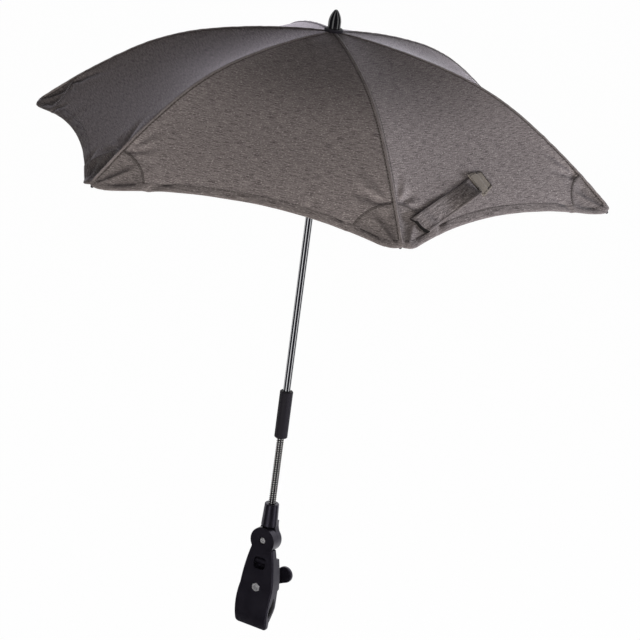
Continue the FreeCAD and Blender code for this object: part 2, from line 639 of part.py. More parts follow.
def tilt_pieces():
    """Screw, nut and friction washer of the tilt joint."""
    washer = turned("friction_washer", [
        ("screw_radius + run_gap", "-disc_back"),
        ("friction_washer_radius", "-disc_back"),
        ("friction_washer_radius", "-disc_back + friction_washer_thick"),
        ("screw_radius + run_gap", "-disc_back + friction_washer_thick"),
    ])
    lay_along_y(washer, "tilt_height")
    back = "(-disc_back + friction_washer_thick + face_gap + rear_disc_thick)"
    under = "(-disc_face + screw_sink - face_gap)"
    screw = turned("screw_blank", [
        ("0", f"{under} - screw_head_thick"),
        ("screw_head_radius - screw_head_thick / 2", f"{under} - screw_head_thick", "screw_head_thick"),
        ("screw_head_radius", f"{under} - screw_head_thick / 4"),
        ("screw_head_radius", under),
        ("screw_radius", under),
        ("screw_radius", f"{back} + screw_end"),
        ("0", f"{back} + screw_end"),
    ])
    lay_along_y(screw, "tilt_height")
    recesses = []
    for name, wide, high in (("recess_across", "recess_length", "recess_width"),
                             ("recess_up", "recess_width", "recess_length")):
        bar = doc.addObject("Part::Box", name)
        bar.setExpression("Length", scoped(wide))
        bar.setExpression("Width", scoped("recess_depth + overrun"))
        bar.setExpression("Height", scoped(high))
        bar.setExpression(".Placement.Base.x", scoped(f"-{wide} / 2"))
        bar.setExpression(".Placement.Base.y", scoped(f"{under} - screw_head_thick - overrun"))
        bar.setExpression(".Placement.Base.z", scoped(f"tilt_height - {high} / 2"))
        recesses.append(bar)
    nut = hexagon("pivot_nut_bar", "screw_nut_flats", f"{back} - screw_nut_thick", back)
    nut.setExpression(".Placement.Base.z", "Sizes.tilt_height")
    hole = turned("pivot_nut_hole", [
        ("0", "0"),
        ("screw_radius + fit_gap", "0"),
        ("screw_radius + fit_gap", f"{back} + overrun"),
        ("0", f"{back} + overrun"),
    ])
    lay_along_y(hole, "tilt_height")
    return [washer, less("pivot_screw", screw, *recesses), less("pivot_nut", nut, hole)]


def socket():
    body = turned("socket_block", [
        ("0", "socket_foot"),
        ("socket_foot_radius", "socket_foot"),
        ("socket_top_radius", "socket_top - sleeve_chamfer"),
        ("socket_top_radius - sleeve_chamfer", "socket_top"),
        ("winding_radius + mouth_gap", "socket_top"),
        ("winding_radius + mouth_gap", "socket_top - mouth_depth"),
        ("chamber_radius", "socket_top - mouth_depth"),
        ("chamber_radius", "socket_foot + socket_floor"),
        ("0", "socket_foot + socket_floor"),
    ])
    front = "(disc_back - friction_washer_thick - face_gap)"
    disc = ring(body, "XZ_Plane", "rear_disc", [("0", "tilt_height", "rear_disc_radius")], front)
    feature("Pad", disc, "rear_disc_thick", back=True)
    foot_across = "rear_disc_radius * cos(neck_angle)"
    foot_height = "tilt_height + rear_disc_radius * sin(neck_angle)"
    neck = outline(body, "XZ_Plane", "socket_neck", [
        (f"-{foot_across}", foot_height),
        (foot_across, foot_height, "-neck_radius"),
        ("socket_foot_radius * neck_top_share", "socket_foot + socket_floor - neck_gap"),
        ("-socket_foot_radius * neck_top_share", "socket_foot + socket_floor - neck_gap", "-neck_radius"),
    ], front)
    feature("Pad", neck, "rear_disc_thick", back=True)
    hole = ring(body, "XZ_Plane", "rear_screw_hole", [("0", "tilt_height", "screw_radius + fit_gap")], front)
    feature("Pocket", hole, "2 * rear_disc_thick", symmetric=True)
    back = "(-disc_back + friction_washer_thick + face_gap + rear_disc_thick)"
    pocket = hexagon("rear_nut_pocket", "screw_nut_flats + 2 * run_gap", f"{back} - screw_nut_thick",
                     f"{back} + overrun")
    pocket.setExpression(".Placement.Base.z", "Sizes.tilt_height")
    return less("socket", body, pocket)


ARM_FLOOR = "(socket_foot + socket_floor)"
SLEEVE_FOOT = "(socket_top + arm_length)"
SHAFT_FOOT = f"({SLEEVE_FOOT} + sleeve_chamber + sleeve_web)"


def sleeve():
    return turned("sleeve", [
        ("winding_radius + mouth_gap", SLEEVE_FOOT),
        ("sleeve_radius - sleeve_chamfer", SLEEVE_FOOT),
        ("sleeve_radius", f"{SLEEVE_FOOT} + sleeve_chamfer"),
        ("sleeve_radius", f"{SLEEVE_FOOT} + sleeve_length - sleeve_chamfer"),
        ("sleeve_radius - sleeve_chamfer", f"{SLEEVE_FOOT} + sleeve_length"),
        ("shaft_radius + fit_gap", f"{SLEEVE_FOOT} + sleeve_length"),
        ("shaft_radius + fit_gap", SHAFT_FOOT),
        ("0", SHAFT_FOOT),
        ("0", f"{SLEEVE_FOOT} + sleeve_chamber"),
        ("chamber_radius", f"{SLEEVE_FOOT} + sleeve_chamber"),
        ("chamber_radius", f"{SLEEVE_FOOT} + mouth_depth"),
        ("winding_radius + mouth_gap", f"{SLEEVE_FOOT} + mouth_depth"),
    ])


def biarc(start, heading, end, arriving):
    """Two tangent arcs from one point and heading to another, as edges."""
    across = end - start
    both = heading + arriving
    spread = 2 * (1 - heading.dot(arriving))
    reach = (-across.dot(both) + math.sqrt(across.dot(both) ** 2 + spread * across.dot(across))) / spread
    first = start + heading * reach
    last = end - arriving * reach
    join = (first + last) / 2
    edges = []
    for a, corner, b in ((start, first, join), (join, last, end)):
        chord = b - a
        half_turn = (corner - a).getAngle(b - corner) / 2
        middle = (a + b) / 2
        rise = (corner - middle).normalize() * (chord.Length / 2 * math.tan(half_turn / 2))
        edges.append(Part.Arc(a, middle + rise, b).toShape())
    return edges


def gooseneck():
    """The winding, one unbroken wire in half-turn biarcs with straight ends, and the hose inside it."""
    wire = value("winding_wire")
    radius = value("winding_radius") - wire / 2
    pitch = value("winding_pitch")
    low = value(f"{ARM_FLOOR} + winding_wire")
    high = value(f"{SLEEVE_FOOT} + sleeve_chamber - winding_wire")
    halves = int((high - low) / pitch * 2)
    lead = pitch / (2 * math.pi)

    def spot(angle):
        return Vector(radius * math.cos(angle), radius * math.sin(angle), low + lead * angle)

    def heading(angle):
        return Vector(-radius * math.sin(angle), radius * math.cos(angle), lead).normalize()

    turns = [math.pi * half for half in range(halves + 1)]
    edges = [Part.LineSegment(spot(0) - heading(0) * wire, spot(0)).toShape()]
    for a, b in zip(turns, turns[1:]):
        edges += biarc(spot(a), heading(a), spot(b), heading(b))
    edges.append(Part.LineSegment(spot(turns[-1]), spot(turns[-1]) + heading(turns[-1]) * wire).toShape())
    path = Part.Wire(edges)
    profile = Part.Wire(Part.makeCircle(wire / 2, edges[0].valueAt(edges[0].FirstParameter), heading(0)))
    shell = Part.BRepOffsetAPI.MakePipeShell(path)
    shell.add(profile, False, False)
    shell.build()
    shell.makeSolid()
    winding = doc.addObject("Part::Feature", "gooseneck_winding")
    winding.Shape = shell.shape()
    steps = 24
    points = [spot(2 * math.pi * step / steps) for step in range(2 * steps + 1)]
    gap = min((points[0] - other).Length for other in points[steps // 2:]) - wire
    print(f"winding: {halves / 2} turns, least gap to itself {gap:.2f} mm, "
          f"volume {winding.Shape.Volume:.0f} against {path.Length * math.pi * wire ** 2 / 4:.0f} mm3")
    core = doc.addObject("Part::Cylinder", "gooseneck_core")
    core.setExpression("Radius", scoped("winding_radius - winding_wire - core_gap"))
    core.setExpression("Height", scoped(f"{SLEEVE_FOOT} + sleeve_chamber - {ARM_FLOOR}"))
    core.setExpression(".Placement.Base.z", scoped(ARM_FLOOR))
    return [winding, core]


class RibLine:
    """A rib's run in its own upright plane: three tangent arcs a set depth under the cloth's outside."""

    def __init__(self, depth, reach, squeeze=1.0):
        slopes = [value(name) for name in ("hub_slope", "first_slope", "second_slope", "tip_slope")]
        breaks = [0, value("first_break"), value("second_break"), reach]
        self.slopes = [math.atan(math.tan(math.radians(slope)) / squeeze) for slope in slopes]
        self.knots = []
        height = value("hub_height")
        across = 0
        for index, slope in enumerate(self.slopes):
            if index:
                run = (breaks[index] - breaks[index - 1]) * squeeze
                height -= run * math.tan((slope + self.slopes[index - 1]) / 2)
                across += run
            self.knots.append(Vector(across - depth * math.sin(slope), 0, height - depth * math.cos(slope)))

    def edges(self, first=0.0):
        """Arc edges from a share of the first arc to the tip."""
        made = []
        for index in range(3):
            begin = first if index == 0 else 0
            places = [self.at(index, share) for share in (begin, (begin + 1) / 2, 1)]
            made.append(Part.Arc(*[place for place, _ in places]).toShape())
        return made

    def at(self, arc, share):
        """Point and slope at a share of one arc's turn."""
        start, end = self.slopes[arc], self.slopes[arc + 1]
        slope = start + (end - start) * share
        chord = self.knots[arc + 1] - self.knots[arc]
        radius = chord.Length / (2 * math.sin((end - start) / 2))
        centre = self.knots[arc] - Vector(math.sin(start), 0, math.cos(start)) * radius
        return centre + Vector(math.sin(slope), 0, math.cos(slope)) * radius, slope

    def share_at(self, across):
        """Share of the first arc at a distance from the mast."""
        chord = self.knots[1] - self.knots[0]
        radius = chord.Length / (2 * math.sin((self.slopes[1] - self.slopes[0]) / 2))
        centre = self.knots[0].x - math.sin(self.slopes[0]) * radius
        slope = math.asin((across - centre) / radius)
        return (slope - self.slopes[0]) / (self.slopes[1] - self.slopes[0])


def normal(slope):
    """Unit vector out of the cloth at a slope."""
    return Vector(math.sin(slope), 0, math.cos(slope))


def forward(slope):
    """Unit vector along a rib towards its tip."""
    return Vector(math.cos(slope), 0, -math.sin(slope))


class Linkage:
    """Places of the rib, stretcher and runner pivots in a rib's plane."""

    def __init__(self):
        self.line = RibLine(value("rib_drop"), value("tip_radius"))
        self.start = self.line.share_at(value("rib_pivot_radius"))
        self.crown, self.crown_slope = self.line.at(0, self.start)
        rib_place, self.lug_slope = self.line.at(1, value("lug_share"))
        self.rib_place = rib_place
        self.rivet = rib_place - normal(self.lug_slope) * value("lug_drop")
        drop = self.crown.z - self.rivet.z
        self.length = (self.rivet - self.crown).Length
        self.angle = math.asin(drop / self.length)
        self.runner = Vector(self.crown.x, 0, self.crown.z - 2 * drop)
        folded = self.angle + math.radians(value("fold_angle"))
        self.travel = 2 * self.length * math.sin(folded) - 2 * drop


LINK = Linkage()


def plate(points, thick):
    """Flat plate in a rib's plane, centred on it, through corner points."""
    half = Vector(0, thick / 2, 0)
    face = Part.Face(Part.makePolygon([point - half for point in points + points[:1]]))
    return face.extrude(half * 2)


def cross_bar(place, radius, length):
    """Round bar square to a rib's plane, centred on it."""
    return Part.makeCylinder(radius, length, place - Vector(0, length / 2, 0), Vector(0, 1, 0))


def rib():
    """Round wire with a flat eye at the crown and a pierced lug for the stretcher."""
    eye_radius = value("eye_radius")
    thick = value("eye_thick")
    wire_start = LINK.line.share_at(value("rib_pivot_radius + wire_inset"))
    edges = LINK.line.edges(wire_start)
    start, slope = LINK.line.at(0, wire_start)
    profile = Part.Wire(Part.makeCircle(value("rib_radius"), start, forward(slope)))
    shell = Part.BRepOffsetAPI.MakePipeShell(Part.Wire(edges))
    shell.add(profile, False, False)
    shell.build()
    shell.makeSolid()
    up = normal(LINK.crown_slope) * eye_radius
    reach = forward(slope) * value("eye_lap")
    flat = plate([LINK.crown - up, start + reach - up, start + reach + up, LINK.crown + up], thick)
    half = forward(LINK.lug_slope) * value("lug_length") / 2
    foot = forward(LINK.lug_slope) * eye_radius
    lug = plate([LINK.rib_place - half, LINK.rib_place + half, LINK.rivet + foot, LINK.rivet - foot], thick)
    shape = shell.shape().fuse([flat, cross_bar(LINK.crown, eye_radius, thick), lug,
                                cross_bar(LINK.rivet, eye_radius, thick)])
    shape = shape.cut(cross_bar(LINK.crown, value("wire_radius + 2 * run_gap"), 2 * thick))
    return shape.cut(cross_bar(LINK.rivet, value("rivet_radius + fit_gap"), 2 * thick)).removeSplitter()


def rib_tip():
    """Cap on a rib's end, bored for the wire."""
    end, slope = LINK.line.at(2, 1)
    along = forward(slope)
    length = value("tip_cap_length")
    radius = value("tip_cap_radius")
    back = end - along * (length - value("tip_cap_end"))
    cap = Part.makeCylinder(radius, length - radius, back, along)
    cap = cap.fuse(Part.makeSphere(radius, back + along * (length - radius))).removeSplitter()
    path = Part.Wire(LINK.line.edges()[2:])
    bore = Part.BRepOffsetAPI.MakePipeShell(path)
    first, first_slope = LINK.line.at(2, 0)
    mouth = Part.makeCircle(value("rib_radius + fit_gap"), first, forward(first_slope))
    bore.add(Part.Wire(mouth), False, False)
    bore.build()
    bore.makeSolid()
    return cap.cut(bore.shape())


def rivet():
    """Rivet of a rib's lug, with a head outside each ear of the stretcher."""
    width = value("eye_thick + 2 * face_gap + 2 * stretcher_wall + 2 * face_gap")
    head = value("rivet_head_thick")
    shape = cross_bar(LINK.rivet, value("rivet_radius"), width + 2 * head)
    for side in (-1, 1):
        middle = LINK.rivet + Vector(0, side * (width + head) / 2, 0)
        shape = shape.fuse(cross_bar(middle, value("rivet_head_radius"), head))
    return shape.removeSplitter()


def stretcher():
    """Pressed channel from the rib's lug to the runner, forked at the lug and flat at the runner."""
    slot = value("eye_thick + 2 * face_gap")
    width = slot + value("2 * stretcher_wall")
    height = value("stretcher_height")
    length = LINK.length
    half = height / 2
    bar = Part.makeBox(length, width, height, Vector(0, -width / 2, -half))
    for end in (0, length):
        bar = bar.fuse(cross_bar(Vector(end, 0, 0), half, width))
    fork = value("fork_length")
    tongue = value("tongue_length")
    flute_end = length - 2 * tongue
    over = value("overrun")
    floor = Vector(-height, -slot / 2, -half + value("stretcher_web"))
    flute = Part.makeBox(flute_end + height, slot, height, floor)
    mouth = Part.makeBox(fork + height, slot, height + over, Vector(-height, -slot / 2, -half - over / 2))
    bar = bar.cut([flute, mouth])
    thin = (width - value("eye_thick")) / 2
    for side in (-1, 1):
        waste = Part.makeBox(tongue + height, thin, height + over, Vector(length - tongue, 0, -half - over / 2))
        waste.translate(Vector(0, value("eye_thick / 2") if side > 0 else -width / 2, 0))
        bar = bar.cut(waste)
    bar = bar.cut(cross_bar(Vector(), value("rivet_radius + fit_gap"), 2 * width))
    bar = bar.removeSplitter()
    bar.Placement = Placement(LINK.rivet, Rotation(Vector(0, 1, 0), 180 - math.degrees(LINK.angle)))
    return bar


class Panel:
    """One flat-ruled panel in its own frame: +X out through the middle of its hem."""

    def __init__(self):
        self.half_angle = math.pi / RIB_COUNT
        self.squeeze = math.cos(self.half_angle)
        self.reach = value("tip_radius + hem_overhang")

    def layer(self, outer, inner, side_low, side_high):
        """Sheet between two depths under the cloth's outside, over a stretch of the panel's width."""
        faces = [RibLine(depth, self.reach, self.squeeze).edges() for depth in (outer, inner)]
        ends = [edges[0].Vertexes[0].Point for edges in faces]
        tips = [edges[-1].Vertexes[-1].Point for edges in faces]
        closing = [Part.LineSegment(*ends).toShape(), Part.LineSegment(*tips).toShape()]
        section = Part.Face(Part.Wire(Part.sortEdges(faces[0] + faces[1] + closing)[0]))
        section.translate(Vector(0, side_low, 0))
        return section.extrude(Vector(0, side_high - side_low, 0))

    def half(self):
        """Cloth from the panel's middle to the rib on its +Y side."""
        width = self.reach * math.sin(self.half_angle)
        low = value("panel_gap / 2")
        over = value("overrun")
        sheet_solid = self.layer(0, value("cloth_thick"), low, width + over)
        tip = self.reach * self.squeeze
        sag = value("hem_sag")
        bow = (width * width + sag * sag) / (2 * sag)
        height = value("hub_height")
        corner = Vector(tip, width, 0)
        waist = Vector(tip - sag, 0, 0)
        beyond = Vector(tip - sag, -low, 0)
        middle = Vector(tip - sag + bow - math.sqrt(bow ** 2 - width ** 2 / 4), width / 2, 0)
        hem = Part.Arc(corner, middle, waist)
        plan = Part.Wire([
            Part.LineSegment(Vector(), corner).toShape(),
            hem.toShape(),
            Part.LineSegment(waist, beyond).toShape(),
            Part.LineSegment(beyond, Vector(0, -low, 0)).toShape(),
            Part.LineSegment(Vector(0, -low, 0), Vector()).toShape(),
        ])
        return sheet_solid.common(Part.Face(plan).extrude(Vector(0, 0, height + over)))

    def strip(self, corners, low, high):
        """Piece of webbing on the panel through corners of distance and side, between two heights."""
        sides = [side for _, side in corners]
        sheet_solid = self.layer(-high, -low, min(sides), max(sides))
        points = [Vector(out, side, 0) for out, side in corners]
        plan = Part.Face(Part.makePolygon(points + points[:1]))
        return sheet_solid.common(plan.extrude(Vector(0, 0, value("hub_height"))))


def gore():
    """Cloth over one rib: a half panel on each side of it, joined along it."""
    panel = Panel()
    turn = math.degrees(panel.half_angle)
    half = panel.half()
    left = half.copy()
    left.rotate(Vector(), Vector(0, 0, 1), -turn)
    right = half.mirror(Vector(), Vector(0, 1, 0))
    right.rotate(Vector(), Vector(0, 0, 1), turn)
    hole = Part.makeCylinder(value("cloth_hole"), 2 * value("hub_height"))
    return left.fuse(right).cut(hole).removeSplitter()


def strap_pieces():
    """Closing strap on the panel before the first rib, and the sewn patch that holds its upper end."""
    panel = Panel()
    low = value("panel_gap")
    thick = value("strap_thick")
    start = Vector(value("tip_radius * strap_start_share"), -value("tip_radius * strap_start_side_share"), 0)
    end = Vector(value("tip_radius * strap_end_share"), -value("tip_radius * strap_end_side_share"), 0)
    across = Vector(0, 0, 1).cross(end - start).normalize() * value("strap_width / 2")
    strap_corners = [start + across, start - across, end - across, end + across]
    side = value("patch_side / 2")
    patch_corners = [(start.x + a * side, start.y + b * side) for a, b in ((-1, -1), (1, -1), (1, 1), (-1, 1))]
    strap = panel.strip([(corner.x, corner.y) for corner in strap_corners], low, low + thick)
    patch = panel.strip(patch_corners, 2 * low + thick, 2 * low + 2 * thick)
    turn = value("first_rib_angle") - math.degrees(panel.half_angle)
    made = []
    for name, shape in (("tie_strap", strap), ("strap_patch", patch)):
        piece = doc.addObject("Part::Feature", name)
        piece.Shape = shape
        piece.Placement = Placement(Vector(), Rotation(Vector(0, 0, 1), turn))
        made.append(piece)
    return made


def around(name, shape):
    """One copy of a shape for each rib, turned to its rib."""
    made = []
    for index in range(RIB_COUNT):
        piece = doc.addObject("Part::Feature", f"{name}_{index + 1}")
        piece.Shape = shape
        angle = value("first_rib_angle") + 360 / RIB_COUNT * index
        piece.Placement = Placement(Vector(), Rotation(Vector(0, 0, 1), angle)) * shape.Placement
        made.append(piece)
    return made


def slotted(name, body, low, high):
    """Turned body with a slot for each rib's eye, open above, below and outside."""
    deep = value("crown_radius") + value("overrun") - value("slot_floor")
    width = value("slot_width")
    slots = []
    for index in range(RIB_COUNT):
        slot = Part.makeBox(deep, width, high - low, Vector(value("slot_floor"), -width / 2, low))
        slot.rotate(Vector(), Vector(0, 0, 1), value("first_rib_angle") + 360 / RIB_COUNT * index)
        slots.append(slot)
    tools = doc.addObject("Part::Feature", f"{name}_slots")
    tools.Shape = Part.makeCompound(slots)
    return less(name, body, tools)


def notch_section(pivot, low, high, bore):
    """Half section of a disc with a groove for the wire round its edge."""
    groove = value("wire_radius + face_gap")
    floor = value("rib_pivot_radius") - groove
    rim = value("crown_radius")
    return [(bore, low), (rim, low), (rim, pivot - groove), (floor, pivot - groove), (floor, pivot + groove),
            (rim, pivot + groove), (rim, high), (bore, high)]


def spun(name, section):
    """Ring turned about the mast from a half section of radius and height."""
    points = [Vector(radius, 0, height) for radius, height in section]
    face = Part.Face(Part.makePolygon(points + points[:1]))
    piece = doc.addObject("Part::Feature", name)
    piece.Shape = face.revolve(Vector(), Vector(0, 0, 1), 360)
    return piece


def crown_pieces():
    """Top notch on the shaft, and the wire through the ribs' eyes."""
    pivot = LINK.crown.z
    low = pivot - value("crown_drop")
    high = pivot + value("crown_rise")
    disc = spun("crown_disc", notch_section(pivot, low, high, value("shaft_radius + fit_gap")))
    over = value("overrun")
    crown = slotted("crown", disc, low - over, high + over)
    wire = doc.addObject("Part::Torus", "crown_wire")
    wire.setExpression("Radius1", "Sizes.rib_pivot_radius")
    wire.setExpression("Radius2", "Sizes.wire_radius")
    wire.Placement = Placement(Vector(0, 0, pivot), Rotation())
    return [crown, wire]


def runner_pieces():
    """Sliding collar, and its wire in one length for each wall between the stretchers."""
    pivot = LINK.runner.z
    flange = value("runner_flange")
    bore = value("shaft_radius + run_gap")
    sleeve_radius = value("runner_sleeve_radius")
    foot = pivot - flange - value("runner_sleeve_length")
    section = notch_section(pivot, pivot - flange, pivot + flange, bore)[1:]
    section += [(bore, foot), (sleeve_radius, foot), (sleeve_radius, pivot - flange)]
    over = value("overrun")
    runner = slotted("runner", spun("runner_disc", section), pivot - flange - over, pivot + flange + over)
    pitch = 360 / RIB_COUNT
    radius = value("rib_pivot_radius")
    reach = pitch - 2 * math.degrees(math.asin(value("slot_width / 2 + face_gap") / radius))
    lengths = []
    for index in range(RIB_COUNT):
        middle = Vector(0, 0, pivot)
        piece = Part.makeTorus(radius, value("wire_radius"), middle, Vector(0, 0, 1), 0, 360, reach)
        turn = value("first_rib_angle") + pitch * index + (pitch - reach) / 2
        piece.rotate(Vector(0, 0, pivot), Vector(0, 0, 1), turn)
        lengths.append(piece)
    wire = doc.addObject("Part::Feature", "runner_wire")
    wire.Shape = Part.makeCompound(lengths)
    return [runner, wire]


def shaft_and_catch():
    """Steel tube with a slot, and the spring leaf whose nose stands out of it under the runner."""
    top = value("hub_height + collar_thick + shaft_in_ferrule")
    nose_top = LINK.runner.z - value("runner_flange + runner_sleeve_length + panel_gap")
    inner = value("shaft_radius - shaft_wall")
    half = value("catch_thick / 2")
    leg_out = math.sqrt(inner ** 2 - half ** 2) - value("panel_gap")
    leg_in = leg_out - value("catch_leg_thick")
    reach = value("catch_reach")
    nose_foot = nose_top - value("catch_nose")
    leg_foot = nose_foot - value("catch_leg")
    tube = spun("shaft_tube", [(inner, value(SHAFT_FOOT)), (value("shaft_radius"), value(SHAFT_FOOT)),
                               (value("shaft_radius"), top), (inner, top)])
    corners = [(leg_in, leg_foot), (leg_out, leg_foot), (leg_out, nose_foot), (reach, nose_top - half),
               (reach, nose_top), (leg_in, nose_top)]
    points = [Vector(-half, across, height) for across, height in corners]
    leaf = doc.addObject("Part::Feature", "spring_catch")
    leaf.Shape = Part.Face(Part.makePolygon(points + points[:1])).extrude(Vector(2 * half, 0, 0))
    slot = doc.addObject("Part::Box", "catch_slot")
    slot.setExpression("Length", scoped("catch_thick + 4 * face_gap"))
    slot.setExpression("Width", "Sizes.shaft_radius")
    slot.setExpression("Height", scoped("catch_nose + 2 * catch_slot_end"))
    slot.Placement = Placement(Vector(0, 0, nose_foot - value("catch_slot_end")), Rotation())
    slot.setExpression(".Placement.Base.x", scoped("-catch_thick / 2 - 2 * face_gap"))
    slot.setExpression(".Placement.Base.y", scoped("overrun / 4"))
    print(f"catch: hinge at y {(leg_in + leg_out) / 2:.3f} z {leg_foot:.3f}, nose top {nose_top:.3f}")
    return [less("shaft", tube, slot), leaf]


def ferrule_pieces():
    """Black end piece on the shaft, and the collar that holds the cloth down."""
    foot = "(hub_height + face_gap)"
    seat = f"({foot} + collar_thick)"
    bore = "(shaft_radius + fit_gap)"
    collar = turned("ferrule_collar", [
        (bore, foot),
        ("collar_radius", foot),
        ("collar_radius", f"{seat} - collar_round", "collar_round"),
        ("collar_radius - collar_round", seat),
        (bore, seat),
    ])
    tip = f"({seat} + ferrule_length)"
    ferrule = turned("ferrule", [
        (bore, f"{seat} + fit_gap"),
        ("ferrule_radius", f"{seat} + fit_gap"),
        ("ferrule_radius", f"{seat} + ferrule_straight", "ferrule_ogive_radius"),
        ("ferrule_nose_radius * cos(nose_angle)", f"{tip} - ferrule_nose_radius * (1 - sin(nose_angle))",
         "ferrule_nose_radius"),
        ("0", tip),
        ("0", f"{seat} + shaft_in_ferrule + fit_gap"),
        (bore, f"{seat} + shaft_in_ferrule + fit_gap"),
    ])
    return [collar, ferrule]


pieces = [front_jaw(), rear_jaw(), liner("front_liner", "-"), liner("rear_liner", ""), jaw_pin(), clamp_nut()]
pieces += knob_pieces() + tilt_pieces()
pieces += [socket(), sleeve()] + gooseneck() + shaft_and_catch() + crown_pieces() + runner_pieces()
pieces += ferrule_pieces()
for part_name, part_shape in (("rib", rib()), ("rib_tip", rib_tip()), ("rivet", rivet()),
                              ("stretcher", stretcher()), ("gore", gore())):
    pieces += around(part_name, part_shape)
pieces += strap_pieces()
doc.recompute()
for item in doc.Objects:
    if "Invalid" in item.State or "Error" in item.State:
        raise RuntimeError(f"{item.Name}: {item.State}")
for piece in pieces:
    if piece.Shape.isNull() or not piece.Shape.isValid():
        raise RuntimeError(f"{piece.Label}: no valid shape")
os.makedirs("parts", exist_ok=True)
for piece in pieces:
    piece.Shape.exportStep(f"parts/{piece.Label}.step")
print(f"crown pivot z {LINK.crown.z:.3f}, rivet {LINK.rivet.x:.3f} {LINK.rivet.z:.3f}, runner pivot z "
      f"{LINK.runner.z:.3f}, travel {LINK.travel:.3f}")
print(f"{len(pieces)} pieces, {sum(len(piece.Shape.Solids) for piece in pieces)} solids")
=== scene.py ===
"""Pram parasol: canopy cloth, wound arm, fasteners and finishes around the fixed frame."""
import json
import math

import bmesh
import bpy
from bpy.props import FloatProperty, FloatVectorProperty, PointerProperty
from mathutils import Matrix, Vector, noise


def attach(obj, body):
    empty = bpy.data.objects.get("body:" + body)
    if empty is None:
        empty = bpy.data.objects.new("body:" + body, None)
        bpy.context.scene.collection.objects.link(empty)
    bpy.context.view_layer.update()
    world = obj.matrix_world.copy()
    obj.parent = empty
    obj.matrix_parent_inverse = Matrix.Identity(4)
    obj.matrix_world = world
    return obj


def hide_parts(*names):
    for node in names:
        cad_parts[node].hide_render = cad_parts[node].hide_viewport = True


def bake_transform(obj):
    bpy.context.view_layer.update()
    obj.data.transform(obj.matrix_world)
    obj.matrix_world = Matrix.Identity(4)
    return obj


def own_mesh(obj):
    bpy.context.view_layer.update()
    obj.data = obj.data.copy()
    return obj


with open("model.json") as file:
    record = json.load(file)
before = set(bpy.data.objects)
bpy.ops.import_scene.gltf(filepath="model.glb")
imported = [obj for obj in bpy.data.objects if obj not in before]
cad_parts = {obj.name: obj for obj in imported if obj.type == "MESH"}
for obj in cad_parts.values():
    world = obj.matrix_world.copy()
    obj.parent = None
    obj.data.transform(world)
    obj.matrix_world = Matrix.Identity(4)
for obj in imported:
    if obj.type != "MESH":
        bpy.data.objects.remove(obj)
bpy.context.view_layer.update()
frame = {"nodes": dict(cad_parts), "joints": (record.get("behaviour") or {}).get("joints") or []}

bl_info = {
    "name": "Pram parasol dressing",
    "version": (1, 0, 0),
    "blender": (4, 5, 0),
    "location": "View3D > Sidebar > Parasol",
    "description": "Cloth, wound arm, fasteners and finishes of a pram parasol around its fixed frame",
    "category": "Object",
}

NODES = frame["nodes"]
JOINTS = {joint["name"]: joint for joint in frame["joints"]}
RIBS = range(1, 7)
SECTOR = math.tau / len(RIBS)
HALF = SECTOR / 2
FIRST_RIB = math.atan2(-JOINTS["rib_1_fold"]["axis"][0], JOINTS["rib_1_fold"]["axis"][1])
MM = 0.001
FRAME_PX = 640
SENSOR_MM = 36.0
# Roundness of a tip pocket's stitched line, and the turn from its seam to its hem at which a ridge parts its dents.
POCKET_POWER = 1.25
DENT_SPLIT = 0.55
# How far that turn strays, how deep the dents are, and the share of it that the dent at the hem has.
DENT_STRAY = 0.12
DENT_DEPTH = 4.2 * MM
HEM_DENT = 0.6
# Creases that run out from the pocket's end at the seam and at the hem: way in degrees, reach and depth in mm.
SEAM_CREASES = ((20, 62, 2.0), (46, 48, 3.8), (68, 40, 3.4), (92, 26, 2.2))
HEM_CREASES = ((30, 40, 1.6), (62, 30, 1.7))
# How far a crease's way strays in degrees, its width in mm and how that grows along it, and its start beside the seam.
CREASE_STRAY = 14
CREASE_WIDTH = 1.9
CREASE_SPREAD = 0.075
CREASE_ASIDE = 3 * MM
# Where a panel's slack is full and from where, over what length and by what share the hem takes it up.
SLACK_FULL = 170 * MM
HEM_TAUT_FROM = 200 * MM
HEM_TAUT_OVER = 110 * MM
HEM_TAUT = 0.6
# Height of the ripples in a panel, and of the puckers along its seams and its hem.
PANEL_RIPPLE = 0.7 * MM
SEAM_PUCKER = 0.4 * MM
HEM_PUCKER = 0.9 * MM
# How far the cloth's corners draw back over ribs 1 to 6, in mm.
CORNER_DRAWN = (3.5, 2, 2, 2, 1.5, 0)
# How far from the tip the cloth draws back, the length of the corner's round tongue, and what each mm takes off it.
DRAWN_REACH = 45 * MM
TONGUE_LENGTH = 32 * MM
TONGUE_LOSS = 0.22
# Profiles of the felled seam, the doubled strap and its patch: shares of the half width, and heights in mm.
SEAM_PROFILE = ((-1, -0.3), (-0.98, 0.5), (-0.5, 0.8), (0, 0.9), (0.5, 0.8), (0.98, 0.5), (1, -0.3), (0, -0.5))
STRAP_PROFILE = ((-1, 0.9), (-0.98, 1.5), (-0.9, 1.9), (-0.8, 1.6), (-0.4, 1.4), (0, 1.5), (0.4, 1.4), (0.8, 1.6),
                 (0.9, 1.9), (0.98, 1.5), (1, 0.9), (0.97, 0.4), (0.6, 0.2), (0, 0.1), (-0.6, 0.2), (-0.97, 0.4))
PATCH_PROFILE = ((-1, 0.1), (-0.99, 0.7), (-0.92, 0.95), (-0.5, 0.8), (0.0, 0.85), (0.5, 0.8), (0.92, 0.95),
                 (0.99, 0.7), (1, 0.1), (0, 0.05))
# Stitches along each side of the patch and along the strap, of which the patch hides the first.
PATCH_STITCHES = 10
STRAP_STITCHES = 58
HIDDEN_STITCHES = 8
# Ends of the arm's core, facets round the wire and in one turn of it, and facets round the core and cuts along it.
CORE_ENDS = (117 * MM, 246 * MM)
WIRE_SIDES = 12
TURN_STEPS = 32
CORE_SIDES = 20
CORE_CUTS = 24
# Rib that the strap's panel follows.
STRAP_RIB = 6
# Collection of the pieces that the back lamp shines on.
BACK_LIT = "Cloth"
